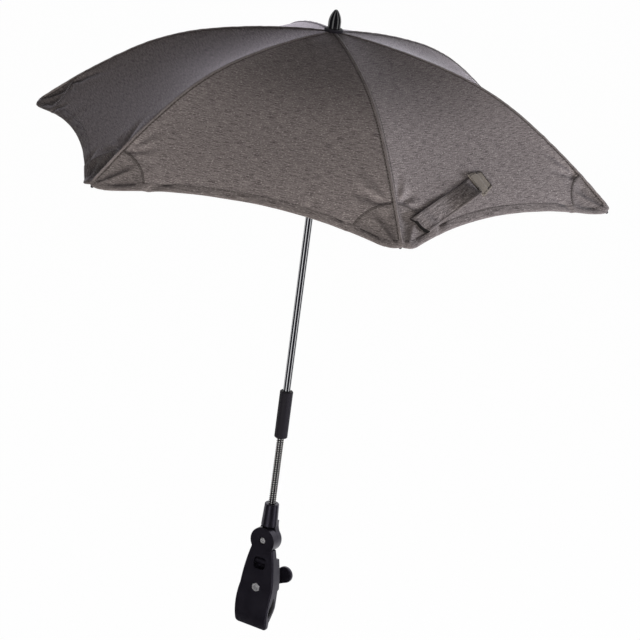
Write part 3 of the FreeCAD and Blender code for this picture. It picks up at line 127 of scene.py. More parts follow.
# Edges that turn further than this stay sharp.
SHARP = math.radians(55)
# Openings between the dark cards: their turn from +X and their width, in degrees.
TENT_GAPS = ((-88, 24), (2, 22), (96, 88), (182, 28))


def linear(code):
    """Linear colour of an sRGB hex value."""
    shares = [int(code[at:at + 2], 16) / 255 for at in (1, 3, 5)]
    return [c / 12.92 if c <= 0.04045 else ((c + 0.055) / 1.055) ** 2.4 for c in shares] + [1.0]


def length(name, description, default):
    """Length property in metres from a default in millimetres."""
    return FloatProperty(name=name, description=description, default=default * MM, unit="LENGTH", precision=5)


def angle(name, description, default):
    """Angle property in radians from a default in degrees."""
    return FloatProperty(name=name, description=description, default=math.radians(default), subtype="ANGLE")


def colour(name, description, code):
    """Colour property from an sRGB hex value."""
    return FloatVectorProperty(name=name, description=description, size=4, subtype="COLOR", min=0, max=1,
                               default=linear(code))


class ParasolCloth(bpy.types.PropertyGroup):
    """Cut and sewing of the canopy."""
    hole: length("Hole", "Radius of the cloth's hole at the mast", 6)
    crown_height: length("Crown height", "Height of the cloth over the mast's axis", 730.6)
    shoulder: length("Shoulder", "First change of bend along a rib, from the mast", 150)
    haunch: length("Haunch", "Second change of bend along a rib, from the mast", 240)
    reach: length("Reach", "Sharp corner of the cloth along a rib, from the mast", 361)
    hub_slope: angle("Hub slope", "Fall of the ribs at the mast", 3.3)
    shoulder_slope: angle("Shoulder slope", "Fall of the ribs at the shoulder", 15)
    haunch_slope: angle("Haunch slope", "Fall of the ribs at the haunch", 32.4)
    rim_slope: angle("Rim slope", "Fall of the ribs at the rim", 43)
    slack: length("Slack", "Hang of a panel's middle below its ribs", 6)
    hem_sag: length("Hem sag", "Hollow of each panel's hem", 20.5)
    corner_round: length("Corner round", "Radius of the cloth's corners", 24)
    thick: length("Thickness", "Cloth", 0.8)
    hem_width: length("Hem width", "Folded hem", 7)
    seam_width: length("Seam width", "Felled seam over a rib", 3.8)
    pocket_up: length("Pocket height", "Tip pocket's stitched line along the seam", 50)
    pocket_out: length("Pocket width", "Tip pocket's stitched line along the hem", 64)
    stitch_step: length("Stitch step", "Distance between stitches", 4.2)
    strap_out: length("Strap anchor", "Strap's sewn end along its panel's middle", 262.5)
    strap_side: length("Strap anchor side", "Strap's sewn end from its panel's middle", -14.5)
    strap_end_out: length("Strap end", "Strap's loose end along its panel's middle", 291.5)
    strap_end_side: length("Strap end side", "Strap's loose end from its panel's middle", -138.5)
    strap_width: length("Strap width", "Doubled band", 17)
    strap_skew: length("Strap skew", "Slant of the loose end", 13)
    patch_width: length("Patch width", "Sewn patch across the strap", 20)
    patch_length: length("Patch length", "Sewn patch along the strap", 28)
    patch_lap: length("Patch lap", "Strap's sewn end under the patch", 7.5)
    dark: colour("Dark yarn", "Darker yarn of the melange", "#453f40")
    pale: colour("Pale yarn", "Paler yarn of the melange", "#8b8482")
    fleck: colour("Fleck", "Palest flecks of the melange", "#bcb5b2")
    # Painted shade: cloth with a second layer behind it, which lets less light through, and the grooves of pockets,
    # seams and hems.
    painted_layer_shade: colour("Painted shade of doubled cloth", "Cloth in front of a second layer", "#2f2c28")
    thread: colour("Thread", "Sewing thread", "#4a4443")
    patch: colour("Patch", "Sewn patch of the strap", "#736d65")


class ParasolArm(bpy.types.PropertyGroup):
    """Winding of the bendable arm."""
    wire: length("Wire", "Wire of the winding", 2.3)
    outside: length("Outside radius", "Winding", 4.5)
    pitch: length("Pitch", "Rise of the winding in one turn", 2.9)
    low: length("Lower end", "Height of the wire's lower end", 119.3)
    turns: FloatProperty(name="Turns", description="Turns of the winding", default=42.5)
    tall: FloatProperty(name="Flattening", description="Height of the wire over its depth", default=1.05)
    core: length("Core radius", "Hose inside the winding", 1.95)
    socket_top: length("Socket top", "Where the arm leaves the socket", 138)
    sleeve_foot: length("Sleeve foot", "Where the arm enters the sleeve", 225)


class ParasolFinish(bpy.types.PropertyGroup):
    """Colours of the plastic and metal."""
    plastic: colour("Plastic", "Moulded clamp and socket", "#0d0c10")
    sleeve: colour("Sleeve", "Moulded coupling sleeve", "#1d1b20")
    chrome: colour("Chrome", "Shaft", "#d2d3d5")
    plated: colour("Plated wire", "Winding of the arm", "#f2f0ee")
    # Painted shade in the grooves between the wire's turns and on the hose inside the winding.
    oiled: colour("Oiled steel", "Grooves and core of the arm", "#2a2929")
    zinc: colour("Zinc", "Screw, nut and washer", "#d0d1d4")
    lacquer: colour("Lacquer", "Ribs and stretchers", "#151517")
    gloss: colour("Glossy plastic", "Ferrule and its collar", "#0a0a0b")
    rubber: colour("Rubber", "Liners of the jaws", "#262626")
    fibre: colour("Fibre", "Friction washer", "#3a3530")


class ParasolStage(bpy.types.PropertyGroup):
    """Camera, lamps and floor."""
    azimuth: angle("Azimuth", "Camera's place round the mast", 30)
    elevation: angle("Elevation", "Camera's height over the rim", 14.58)
    roll: angle("Roll", "Camera's lean", 7.44)
    distance: length("Distance", "Camera from the middle of the rim", 3167)
    rim_height: length("Rim height", "Plane of the rib tips", 579)
    focus_px: FloatProperty(name="Focal length", description="In pixels of the picture", default=2690)
    aim_x: FloatProperty(name="Aim across", description="Pixel of the rim's middle", default=317.2)
    aim_y: FloatProperty(name="Aim down", description="Pixel of the rim's middle", default=157.1)
    floor_height: length("Floor height", "Floor below the clamp", -650)
    fill: FloatProperty(name="Fill", description="Light from all round, as a share of plain white", default=0.12)
    fill_tint: colour("Fill tint", "Light from all round", "#fcf9ff")
    front: FloatProperty(name="Front lamp", description="Share of plain white", default=1.05)
    front_turn: angle("Front lamp's turn", "Place round the mast, from +X", 300)
    front_tint: colour("Front lamp's tint", "Lamp beside the camera", "#fffaf6")
    right: FloatProperty(name="Right lamp", description="Share of plain white", default=1.5)
    right_turn: angle("Right lamp's turn", "Place round the mast, from +X", 28)
    right_tint: colour("Right lamp's tint", "Lamp on the right", "#f6f7ff")
    back: FloatProperty(name="Back lamp", description="Share of plain white", default=1.75)
    back_turn: angle("Back lamp's turn", "Place round the mast, from +X", 131)
    back_tint: colour("Back lamp's tint", "Lamp behind the parasol", "#f6f0ff")
    low_rise: angle("Low rise", "Front and right lamps over the rim", -3)
    back_rise: angle("Back rise", "Back lamp over the rim", 8)
    lamp_distance: length("Lamp distance", "Lamps from the middle of the rim", 3000)
    lamp_size: length("Lamp size", "Side of the square lamps", 1100)
    tent_radius: length("Tent radius", "Dark cards round the parasol", 2200)
    tent_height: length("Tent height", "Upper edge of the dark cards", 1600)
    tent_top: length("Tent top", "Radius of the opening over the dark cards", 350)


def smooth(share):
    """Share eased between nought and one."""
    share = min(max(share, 0.0), 1.0)
    return share * share * (3 - 2 * share)


class Dome:
    """Outside of the stretched cloth. In a panel's own frame u runs out along its middle and side across it."""

    def __init__(self, cloth):
        self.cloth = cloth
        self.lean = math.cos(HALF)
        reaches = [0.0, cloth.shoulder, cloth.haunch, cloth.reach]
        slopes = [math.atan(math.tan(s) / self.lean) for s in
                  (cloth.hub_slope, cloth.shoulder_slope, cloth.haunch_slope, cloth.rim_slope)]
        self.arcs = []
        height = cloth.crown_height
        run = 0.0
        for start, end, first, last in zip(reaches, reaches[1:], slopes, slopes[1:]):
            radius = (end - start) * self.lean / (math.sin(last) - math.sin(first))
            centre = start * self.lean - radius * math.sin(first)
            base = height - radius * math.cos(first)
            self.arcs.append((end * self.lean, centre, base, radius, run - radius * first))
            height = base + radius * math.cos(last)
            run += radius * (last - first)
        half_hem = cloth.reach * math.sin(HALF)
        self.bow = (half_hem ** 2 + cloth.hem_sag ** 2) / (2 * cloth.hem_sag)
        self.bow_centre = cloth.reach * self.lean - cloth.hem_sag + self.bow
        self.corner = math.pi / 2 - HALF - 2 * math.atan(cloth.hem_sag / half_hem)
        self.tip = cloth.reach - cloth.corner_round * (1 / math.sin(self.corner) - 1)

    def arc(self, u):
        """Arc that u lies on."""
        return next((arc for arc in self.arcs if u <= arc[0]), self.arcs[-1])

    def fall(self, u):
        """Slope of the cloth at u."""
        _, centre, _, radius, _ = self.arc(u)
        return math.asin((u - centre) / radius)

    def run(self, u):
        """Length of the cloth from the mast to u."""
        radius, start = self.arc(u)[3:]
        return start + radius * self.fall(u)

    def place(self, panel, u, side, lift=0.0):
        """Point over the cloth's outside."""
        _, centre, base, radius, _ = self.arc(u)
        fall = self.fall(u)
        turn = FIRST_RIB + SECTOR * (panel - 0.5)
        out = u + lift * math.sin(fall)
        height = base + (radius + lift) * math.cos(fall)
        return Vector((out * math.cos(turn) - side * math.sin(turn),
                       out * math.sin(turn) + side * math.cos(turn), height))

    def hem(self, slant):
        """Place of the hem on a ray from the mast that leaves the panel's middle at a slant."""
        cloth = self.cloth
        aside = (math.sin(HALF) - slant * self.lean) / (self.lean + slant * math.sin(HALF))
        centre = cloth.reach - cloth.corner_round / math.sin(self.corner)
        square = 1 + aside ** 2
        left = centre ** 2 - square * (centre ** 2 - cloth.corner_round ** 2)
        if left > 0:
            along = (centre + math.sqrt(left)) / square
            if along * aside < cloth.corner_round * math.cos(self.corner):
                return along / (self.lean + slant * math.sin(HALF))
        square = 1 + slant ** 2
        left = self.bow_centre ** 2 - square * (self.bow_centre ** 2 - self.bow ** 2)
        return (self.bow_centre - math.sqrt(left)) / square

    def panel(self, rib, hand):
        """Panel on one hand of a rib."""
        return rib if hand > 0 else (rib - 2) % len(RIBS) + 1

    def by_ray(self, rib, hand, off, out=1.0, inset=0.0):
        """Panel, u and side on a ray: off from rib to panel middle, out from hole to hem, inset from the hem."""
        slant = math.tan(HALF) * (1 - off)
        stretch = math.hypot(1, slant)
        first = self.cloth.hole / stretch
        u = first + (self.hem(slant) - inset / stretch - first) * out
        return self.panel(rib, hand), u, -hand * slant * u

    def by_rib(self, rib, along, aside):
        """Panel, u and side at a distance along a rib and aside from it."""
        hand = 1 if aside >= 0 else -1
        u = along * self.lean + abs(aside) * math.sin(HALF)
        return self.panel(rib, hand), u, -hand * (along * math.sin(HALF) - abs(aside) * self.lean)

    def sewn(self, u, side):
        """Distance along the nearest rib, aside from it and in from the hem."""
        slant = abs(side) / max(u, 1e-6)
        edge = (self.hem(slant) - u) * math.hypot(1, slant)
        aside = max(u * math.sin(HALF) - abs(side) * self.lean, 0.0)
        return u * self.lean + abs(side) * math.sin(HALF), aside, edge

    def pocket(self, along, aside):
        """Shares of the tip pocket's height along the seam and of its width along the hem."""
        cloth = self.cloth
        up = max(cloth.reach - along - aside / math.tan(self.corner), 0.0)
        return up / cloth.pocket_up, aside / math.sin(self.corner) / cloth.pocket_out

    def slung(self, u, side):
        """Hang of a panel between its ribs, which is less near the mast and the hem."""
        across = side / max(u * math.tan(HALF), 1e-6)
        length_share = smooth(u / SLACK_FULL) * (1 - HEM_TAUT * smooth((u - HEM_TAUT_FROM) / HEM_TAUT_OVER))
        return -self.cloth.slack * max(1 - across ** 2, 0.0) * length_share

    def folds(self, rib, hand, along, aside):
        """Dents in the tip pocket, and folds that run out from the two ends of its stitched line."""
        cloth = self.cloth
        up, out = self.pocket(along, aside)
        share = (up ** POCKET_POWER + out ** POCKET_POWER) ** (1 / POCKET_POWER)
        turn = math.atan2(out, max(up, 1e-6)) / (math.pi / 2)
        split = DENT_SPLIT + DENT_STRAY * noise.noise(Vector((rib * 1.7, hand * 2.9, 0.5)))
        lobe = math.sin(math.pi * min(turn / split, 1.0))
        lobe += HEM_DENT * math.sin(math.pi * min(max((turn - split) / (1 - split), 0.0), 1.0))
        lift = -DENT_DEPTH * lobe * smooth((1 - share) / 0.22) * smooth((share - 0.1) / 0.5)
        outside = smooth((share - 0.98) / 0.1)
        for start, rows in ((cloth.pocket_up, SEAM_CREASES), (0.0, HEM_CREASES)):
            for number, (way, reach, depth) in enumerate(rows):
                stray = noise.noise(Vector((rib * 3.7, hand * 5.1, number * 1.3 + start * 50)))
                way += CREASE_STRAY * stray
                cos, sin = math.cos(math.radians(way)), math.sin(math.radians(way))
                back, off = cloth.reach - start - along, aside - CREASE_ASIDE
                if not start:
                    back -= cloth.pocket_out * math.cos(self.corner)
                    off -= cloth.pocket_out * math.sin(self.corner)
                on, beside = (back * cos + off * sin) / MM, (off * cos - back * sin) / MM
                reach *= 1 + 0.4 * stray
                wide = CREASE_WIDTH + CREASE_SPREAD * max(on, 0)
                fade = smooth((on + 1) / 7) * smooth((reach - on) / (0.8 * reach))
                swell = math.exp(-(beside / wide) ** 2) - 0.5 * math.exp(-((beside - 2 * wide) / wide) ** 2)
                lift -= depth * MM * swell * fade * outside
        return lift

    def flattened(self, rib, u, along, aside):
        """Lift that turns the seam's ridge into a round tongue at the corner, less where it draws back."""
        near = smooth(1 - (self.tip - along) / TONGUE_LENGTH) * (1 - smooth((aside - 0.005) / 0.02))
        return (1 - TONGUE_LOSS * CORNER_DRAWN[rib - 1]) * aside * math.sin(HALF) * math.sin(self.fall(u)) * near

    def drawn(self, rib, u, side):
        """u and side after the cloth's corner has drawn back over its rib."""
        along, aside, _ = self.sewn(u, side)
        back = CORNER_DRAWN[rib - 1] * MM * smooth(1 - math.hypot(self.tip - along, aside) / DRAWN_REACH)
        return u - back * self.lean, side - math.copysign(back * math.sin(HALF), side)

    def ease(self, rib, panel, u, side):
        """Height that sewing and slack add to the cloth."""
        hand = 1 if panel == rib else -1
        along, aside, edge = self.sewn(u, side)
        off = smooth(aside / 0.02)
        lift = self.slung(u, side) + self.folds(rib, hand, along, aside) + self.flattened(rib, u, along, aside)
        lift += PANEL_RIPPLE * off * noise.noise(Vector((u * 15, side * 9, panel * 7.3)))
        pucker = noise.noise(Vector((along / 0.007, rib * 3.1, hand * off)))
        lift += SEAM_PUCKER * math.exp(-(aside / 0.006) ** 2) * pucker
        lift += HEM_PUCKER * off * math.exp(-edge / 0.02) * noise.noise(Vector((side / 0.03, panel * 5.7, 0.4)))
        return lift

    def eased(self, rib, spot, lift=0.0):
        """Point over the eased cloth."""
        panel, u, side = spot
        lift += self.ease(rib, panel, u, side)
        return self.place(panel, *self.drawn(rib, u, side), lift)


def add(tree, kind, inputs=None, **settings):
    """Node with its settings, and its inputs set or linked by name or number."""
    node = tree.nodes.new("ShaderNode" + kind)
    for name, setting in settings.items():
        setattr(node, name, setting)
    for socket, given in (inputs or {}).items():
        if isinstance(given, bpy.types.NodeSocket):
            tree.links.new(given, node.inputs[socket])
        else:
            node.inputs[socket].default_value = given
    return node


def new_finish(name, **sockets):
    """Material with its node tree and its shader, whose sockets take plain values."""
    finish = bpy.data.materials.new(name)
    finish.use_nodes = True
    shader = finish.node_tree.nodes["Principled BSDF"]
    for socket, given in sockets.items():
        shader.inputs[socket.replace("_", " ")].default_value = given
    return finish, finish.node_tree, shader


def laid_grid(bm, across, along, place, maps):
    """Grid whose points go where place puts their two shares, with the UV that each map's function gives them."""
    made = bmesh.ops.create_grid(bm, x_segments=across, y_segments=along, size=0.5)
    shares = {point: (point.co.x + 0.5, point.co.y + 0.5) for point in made["verts"]}
    for point, (first, second) in shares.items():
        point.co = place(first, second)
        for layer, sew in maps.items():
            spot = sew(first, second)
            for loop in point.link_loops:
                loop[layer].uv = spot


def piece_of(bm, name, finish, crown=None):
    """Object from a bmesh. Crown is a direction that an open sheet's faces should look along."""
    bmesh.ops.remove_doubles(bm, verts=bm.verts, dist=1e-6)
    bmesh.ops.recalc_face_normals(bm, faces=bm.faces)
    if crown and sum(face.normal.dot(crown) * face.calc_area() for face in bm.faces) < 0:
        bmesh.ops.reverse_faces(bm, faces=bm.faces)
    mesh = bpy.data.meshes.new(name)
    for face in bm.faces:
        face.smooth = True
    for edge in bm.edges:
        edge.smooth = edge.is_manifold and edge.calc_face_angle() < SHARP
    bm.to_mesh(mesh)
    bm.free()
    mesh.materials.append(finish)
    piece = bpy.data.objects.new(name, mesh)
    bpy.context.scene.collection.objects.link(piece)
    return piece


def fold_with(piece, rib):
    """Let a piece of cloth ride on a rib, among the pieces that the back lamp shines on, with a mesh of its own."""
    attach(piece, f"rib_{rib}")
    bpy.data.collections[BACK_LIT].objects.link(piece)
    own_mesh(piece)


def cloth_finish(cloth, name, sheen=0.22, painted_shade_share=None):
    """Melange polyester: short darker and paler streaks along the weft, matt. The painted shade share darkens the whole
    piece for a second layer behind it, which lets less light through; without one, the pockets and grooves get painted
    shade.
    """
    finish, tree, shader = new_finish(name, Roughness=0.9, Specular_IOR_Level=0.15, Sheen_Weight=sheen,
                                      Sheen_Roughness=0.18)
    weave = add(tree, "UVMap", uv_map="weave").outputs[0]
    # Yarn streaks are about 12 mm by 0.4 mm and flecks 2 mm by 0.4 mm, drawn 0.9 mm wide so that they show.
    streak = add(tree, "Mapping", {"Vector": weave, "Scale": (1 / 0.012, 1 / 0.0009, 1)})
    yarn = add(tree, "TexNoise", {"Vector": streak.outputs[0], "Scale": 1.0, "Detail": 4.0, "Roughness": 0.65})
    shade = add(tree, "MapRange", {"Value": yarn.outputs[0], "From Min": 0.34, "From Max": 0.66})
    short = add(tree, "Mapping", {"Vector": weave, "Scale": (1 / 0.0024, 1 / 0.0009, 1), "Location": (0.3, 0.7, 0)})
    flecks = add(tree, "TexNoise", {"Vector": short.outputs[0], "Scale": 1.0, "Detail": 1.0})
    bright = add(tree, "MapRange", {"Value": flecks.outputs[0], "From Min": 0.56, "From Max": 0.8, "To Max": 0.9})
    tone = add(tree, "Mix", {0: shade.outputs[0], 6: cloth.dark, 7: cloth.pale}, data_type="RGBA")
    tone = add(tree, "Mix", {0: bright.outputs[0], 6: tone.outputs[2], 7: cloth.fleck}, data_type="RGBA")
    if painted_shade_share is None:
        tone = painted_lining_shade(tree, cloth, tone)
    else:
        tone = add(tree, "Mix", {0: painted_shade_share, 6: tone.outputs[2], 7: cloth.painted_layer_shade}, data_type="RGBA")
    tree.links.new(tone.outputs[2], shader.inputs["Base Color"])
    # Threads are 0.4 mm apart, drawn 1.2 mm apart so that they show.
    threads = add(tree, "Mapping", {"Vector": weave, "Scale": (math.tau / 0.0012, math.tau / 0.0012, 1)})
    parts = add(tree, "SeparateXYZ", {0: threads.outputs[0]})
    warp = add(tree, "Math", {0: parts.outputs[0]}, operation="SINE")
    weft = add(tree, "Math", {0: parts.outputs[1]}, operation="SINE")
    cross = add(tree, "Math", {0: warp.outputs[0], 1: weft.outputs[0]}, operation="MULTIPLY")
    height = add(tree, "Math", {0: cross.outputs[0], 1: 0.3, 2: yarn.outputs[0]}, operation="MULTIPLY_ADD")
    bump = add(tree, "Bump", {"Strength": 0.25, "Distance": 0.0004, "Height": height.outputs[0]})
    tree.links.new(bump.outputs[0], shader.inputs["Normal"])
    return finish


def painted_lining_shade(tree, cloth, tone):
    """Painted shade: darken the cloth where a tip pocket behind it lets less light through, and along the grooves of
    pockets, seams and hems.
    """
    corner = add(tree, "SeparateXYZ", {0: add(tree, "UVMap", uv_map="corner").outputs[0]})
    sewing = add(tree, "SeparateXYZ", {0: add(tree, "UVMap", uv_map="sewing").outputs[0]})
    powers = [add(tree, "Math", {0: corner.outputs[axis], 1: POCKET_POWER}, operation="POWER") for axis in (0, 1)]
    total = add(tree, "Math", {0: powers[0].outputs[0], 1: powers[1].outputs[0]})
    share = add(tree, "Math", {0: total.outputs[0], 1: 1 / POCKET_POWER}, operation="POWER").outputs[0]
    from_line = add(tree, "Math", {0: share, 1: 1.0, 2: 0.022}, operation="COMPARE").outputs[0]
    # Each row: a distance, where its shade is full, where it ends, and how dark it is.
    rows = ((share, 0.97, 1.0, 0.28), (sewing.outputs[0], cloth.seam_width * 0.7, cloth.seam_width * 1.1, 0.85),
            (sewing.outputs[1], cloth.hem_width, cloth.hem_width + 0.0014, 0.34))
    darkness = add(tree, "Math", {0: from_line, 1: 0.6}, operation="MULTIPLY")
    for distance, full, ends, most in rows:
        row = add(tree, "MapRange", {"Value": distance, "From Min": full, "From Max": ends, "To Min": most,
                                     "To Max": 0.0})
        darkness = add(tree, "Math", {0: darkness.outputs[0], 1: row.outputs[0]}, operation="MAXIMUM")
    return add(tree, "Mix", {0: darkness.outputs[0], 6: tone.outputs[2], 7: cloth.painted_layer_shade}, data_type="RGBA")


def thread_finish(name, base):
    """Sewing thread: matt twisted polyester."""
    finish, tree, shader = new_finish(name, Roughness=0.7, Specular_IOR_Level=0.2, Sheen_Weight=0.2)
    spot = add(tree, "TexCoord").outputs["Object"]
    # The plies of the thread cross every 0.8 mm.
    twist = add(tree, "TexNoise", {"Vector": spot, "Scale": 1 / 0.0008, "Detail": 1.0})
    pale = [min(c * 1.6, 1) for c in base[:3]] + [1]
    tone = add(tree, "Mix", {0: twist.outputs[0], 6: base, 7: pale}, data_type="RGBA")
    tree.links.new(tone.outputs[2], shader.inputs["Base Color"])
    return finish


def band_finish(name, base):
    """Twill band: fine slanting ribs, matt, with a little sheen."""
    finish, tree, shader = new_finish(name, Roughness=0.85, Specular_IOR_Level=0.15, Sheen_Weight=0.06,
                                      Sheen_Roughness=0.3)
    weave = add(tree, "UVMap", uv_map="weave").outputs[0]
    # Twill lines are 0.7 mm apart, drawn 1.1 mm apart so that they show.
    slant = add(tree, "Mapping", {"Vector": weave, "Rotation": (0, 0, 0.9), "Scale": (1 / 0.0011,) * 3})
    twill = add(tree, "TexWave", {"Vector": slant.outputs[0], "Scale": 1 / math.tau * 2, "Distortion": 0.6,
                                  "Detail": 1.0})
    blot = add(tree, "TexNoise", {"Vector": weave, "Scale": 1 / 0.004, "Detail": 3.0})
    pale = [min(c * 1.35, 1) for c in base[:3]] + [1]
    deep = [c * 0.72 for c in base[:3]] + [1]
    mix = add(tree, "Math", {0: twill.outputs[1], 1: 0.45, 2: blot.outputs[0]}, operation="MULTIPLY_ADD")
    share = add(tree, "MapRange", {"Value": mix.outputs[0], "From Min": 0.3, "From Max": 1.05})
    tone = add(tree, "Mix", {0: share.outputs[0], 6: deep, 7: pale}, data_type="RGBA")
    tree.links.new(tone.outputs[2], shader.inputs["Base Color"])
    bump = add(tree, "Bump", {"Strength": 0.3, "Distance": 0.0003, "Height": twill.outputs[1]})
    tree.links.new(bump.outputs[0], shader.inputs["Normal"])
    return finish


class PARASOL_OT_canopy(bpy.types.Operator):
    """Sew the six gores of the canopy, from the middle of one panel to the middle of the next"""
    bl_idname = "parasol.canopy"
    bl_label = "Canopy"

    def execute(self, context):
        cloth = context.scene.parasol_cloth
        dome = Dome(cloth)
        finish = cloth_finish(cloth, "Melange polyester cloth")
        for rib in RIBS:
            bm = bmesh.new()
            weave, corner, sewing = (bm.loops.layers.uv.new(name) for name in ("weave", "corner", "sewing"))
            for hand in (1, -1):
                def spot(off, out):
                    return dome.by_ray(rib, hand, off ** 1.25, out)

                def on_weave(off, out):
                    panel, u, side = spot(off, out)
                    return side + panel * 0.5, dome.run(u)

                def on_corner(off, out):
                    along, aside, _ = dome.sewn(*spot(off, out)[1:])
                    return dome.pocket(along, aside)

                def on_sewing(off, out):
                    return dome.sewn(*spot(off, out)[1:])[1:]

                maps = {weave: on_weave, corner: on_corner, sewing: on_sewing}
                laid_grid(bm, 76, 170, lambda off, out: dome.eased(rib, spot(off, out)), maps)
            gore = piece_of(bm, f"canopy_gore_{rib}", finish, Vector((0, 0, 1)))
            wall = gore.modifiers.new("Thickness", "SOLIDIFY")
            wall.thickness = cloth.thick
            wall.offset = -1
            fold_with(gore, rib)
            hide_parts(f"gore_{rib}")
        return {"FINISHED"}


def new_strip():
    """Empty bmesh and its UV map of the weave."""
    bm = bmesh.new()
    return bm, bm.loops.layers.uv.new("weave")


def scaled(profile, half):
    """Profile in metres from shares of a half width and heights in mm."""
    return [(share * half, lift * MM) for share, lift in profile]


def closed_strip(bm, profile, stations, place, weave, span=0.37):
    """Tube of a closed profile along stations, with its ends filled. Span is its length on the weave."""
    around = len(profile)

    def spot(across, along):
        return place(along, *profile[round(across * around) % around])

    laid_grid(bm, around, stations, spot, {weave: lambda across, along: (along * span, across * 0.04)})
    bmesh.ops.remove_doubles(bm, verts=bm.verts, dist=1e-7)
    bmesh.ops.holes_fill(bm, edges=[edge for edge in bm.edges if edge.is_boundary], sides=0)


def add_stitch(bm, start, end, heavy=1.0):
    """One stitch that shows between two points, with its ends sunk in."""
    way = end - start
    if way.length < 0.0012:
        return
    turn = way.to_track_quat("X", "Z").to_matrix().to_4x4()
    shape = Matrix.Diagonal((way.length * 0.36, 0.00038 * heavy, 0.0004 * heavy, 1))
    bmesh.ops.create_icosphere(bm, subdivisions=1, radius=1,
                               matrix=Matrix.Translation((start + end) / 2) @ turn @ shape)


class PARASOL_OT_hems(bpy.types.Operator):
    """Fold the hems round the cloth's edge and fell the seams over the ribs"""
    bl_idname = "parasol.hems"
    bl_label = "Hems and seams"

    def execute(self, context):
        cloth = context.scene.parasol_cloth
        dome = Dome(cloth)
        # The doubled hem and the felled seam get painted shade, for the second layer that lets less light through.
        finish = cloth_finish(cloth, "Doubled polyester cloth", painted_shade_share=0.24)
        felled = cloth_finish(cloth, "Felled polyester cloth", painted_shade_share=0.06)
        wide, thick = cloth.hem_width, cloth.thick
        # The fold's upper side, from its inner edge out, whose mirror image lies under the cloth.
        upper = [(wide, -0.0001), (wide * 0.97, 0.0005), (wide * 0.5, 0.0007), (0.0006, 0.0006), (-0.0003, 0.0)]
        lower = [(inset, -thick - lift) for inset, lift in reversed(upper)]
        fold = upper + [(-0.0005, -thick / 2)] + lower + [(wide * 0.6, -thick / 2)]
        fell = scaled(SEAM_PROFILE, cloth.seam_width / 2)
        first, last = cloth.hole + 0.004, cloth.reach - 0.012
        for rib in RIBS:
            bm, weave = new_strip()

            def on_hem(along, inset, lift):
                hand = 1 if along >= 0.5 else -1
                off = abs(2 * along - 1) ** 1.6
                return dome.eased(rib, dome.by_ray(rib, hand, off, 1.0, inset), lift)

            closed_strip(bm, fold, 220, on_hem, weave)
            hem = piece_of(bm, f"canopy_hem_{rib}", finish)
            bm, weave = new_strip()

            def on_seam(along, aside, lift):
                return dome.eased(rib, dome.by_rib(rib, first + (last - first) * along, aside), lift)

            closed_strip(bm, fell, 150, on_seam, weave)
            seam = piece_of(bm, f"canopy_seam_{rib}", felled)
            for piece in (hem, seam):
                fold_with(piece, rib)
        return {"FINISHED"}


class PARASOL_OT_stitches(bpy.types.Operator):
    """Sew the rows of stitches along hems, seams and tip pockets"""
    bl_idname = "parasol.stitches"
    bl_label = "Stitches"

    def execute(self, context):
        cloth = context.scene.parasol_cloth
        dome = Dome(cloth)
        finish = thread_finish("Polyester sewing thread", cloth.thread)
        for rib in RIBS:
            bm = bmesh.new()
            rows = []
            half_hem = cloth.reach * math.sin(HALF)
            steps = int(half_hem / cloth.stitch_step)
            for hand in (1, -1):
                rows.append([dome.by_ray(rib, hand, step / steps, 1.0, cloth.hem_width - 0.0014)
                             for step in range(steps + 1)])
                first, last = cloth.hole + 0.012, cloth.reach - 0.014
                steps_up = int((last - first) / cloth.stitch_step)
                rows.append([dome.by_rib(rib, first + (last - first) * step / steps_up,
                                         hand * (cloth.seam_width / 2 + 0.0006)) for step in range(steps_up + 1)])
                round_pocket = []
                for step in range(20):
                    turn = math.pi / 2 * (step + 0.5) / 20
                    reach = (math.cos(turn) ** POCKET_POWER + math.sin(turn) ** POCKET_POWER) ** (-1 / POCKET_POWER)
                    up = cloth.pocket_up * reach * math.cos(turn)
                    aside = cloth.pocket_out * reach * math.sin(turn) * math.sin(dome.corner)
                    along = cloth.reach - up - aside / math.tan(dome.corner)
                    round_pocket.append(dome.by_rib(rib, along, hand * aside))
                rows.append(round_pocket)
            for row in rows:
                for here, there in zip(row, row[1:]):
                    add_stitch(bm, dome.eased(rib, here, 0.0004), dome.eased(rib, there, 0.0004))
            stitches = piece_of(bm, f"canopy_stitches_{rib}", finish)
            fold_with(stitches, rib)
        return {"FINISHED"}


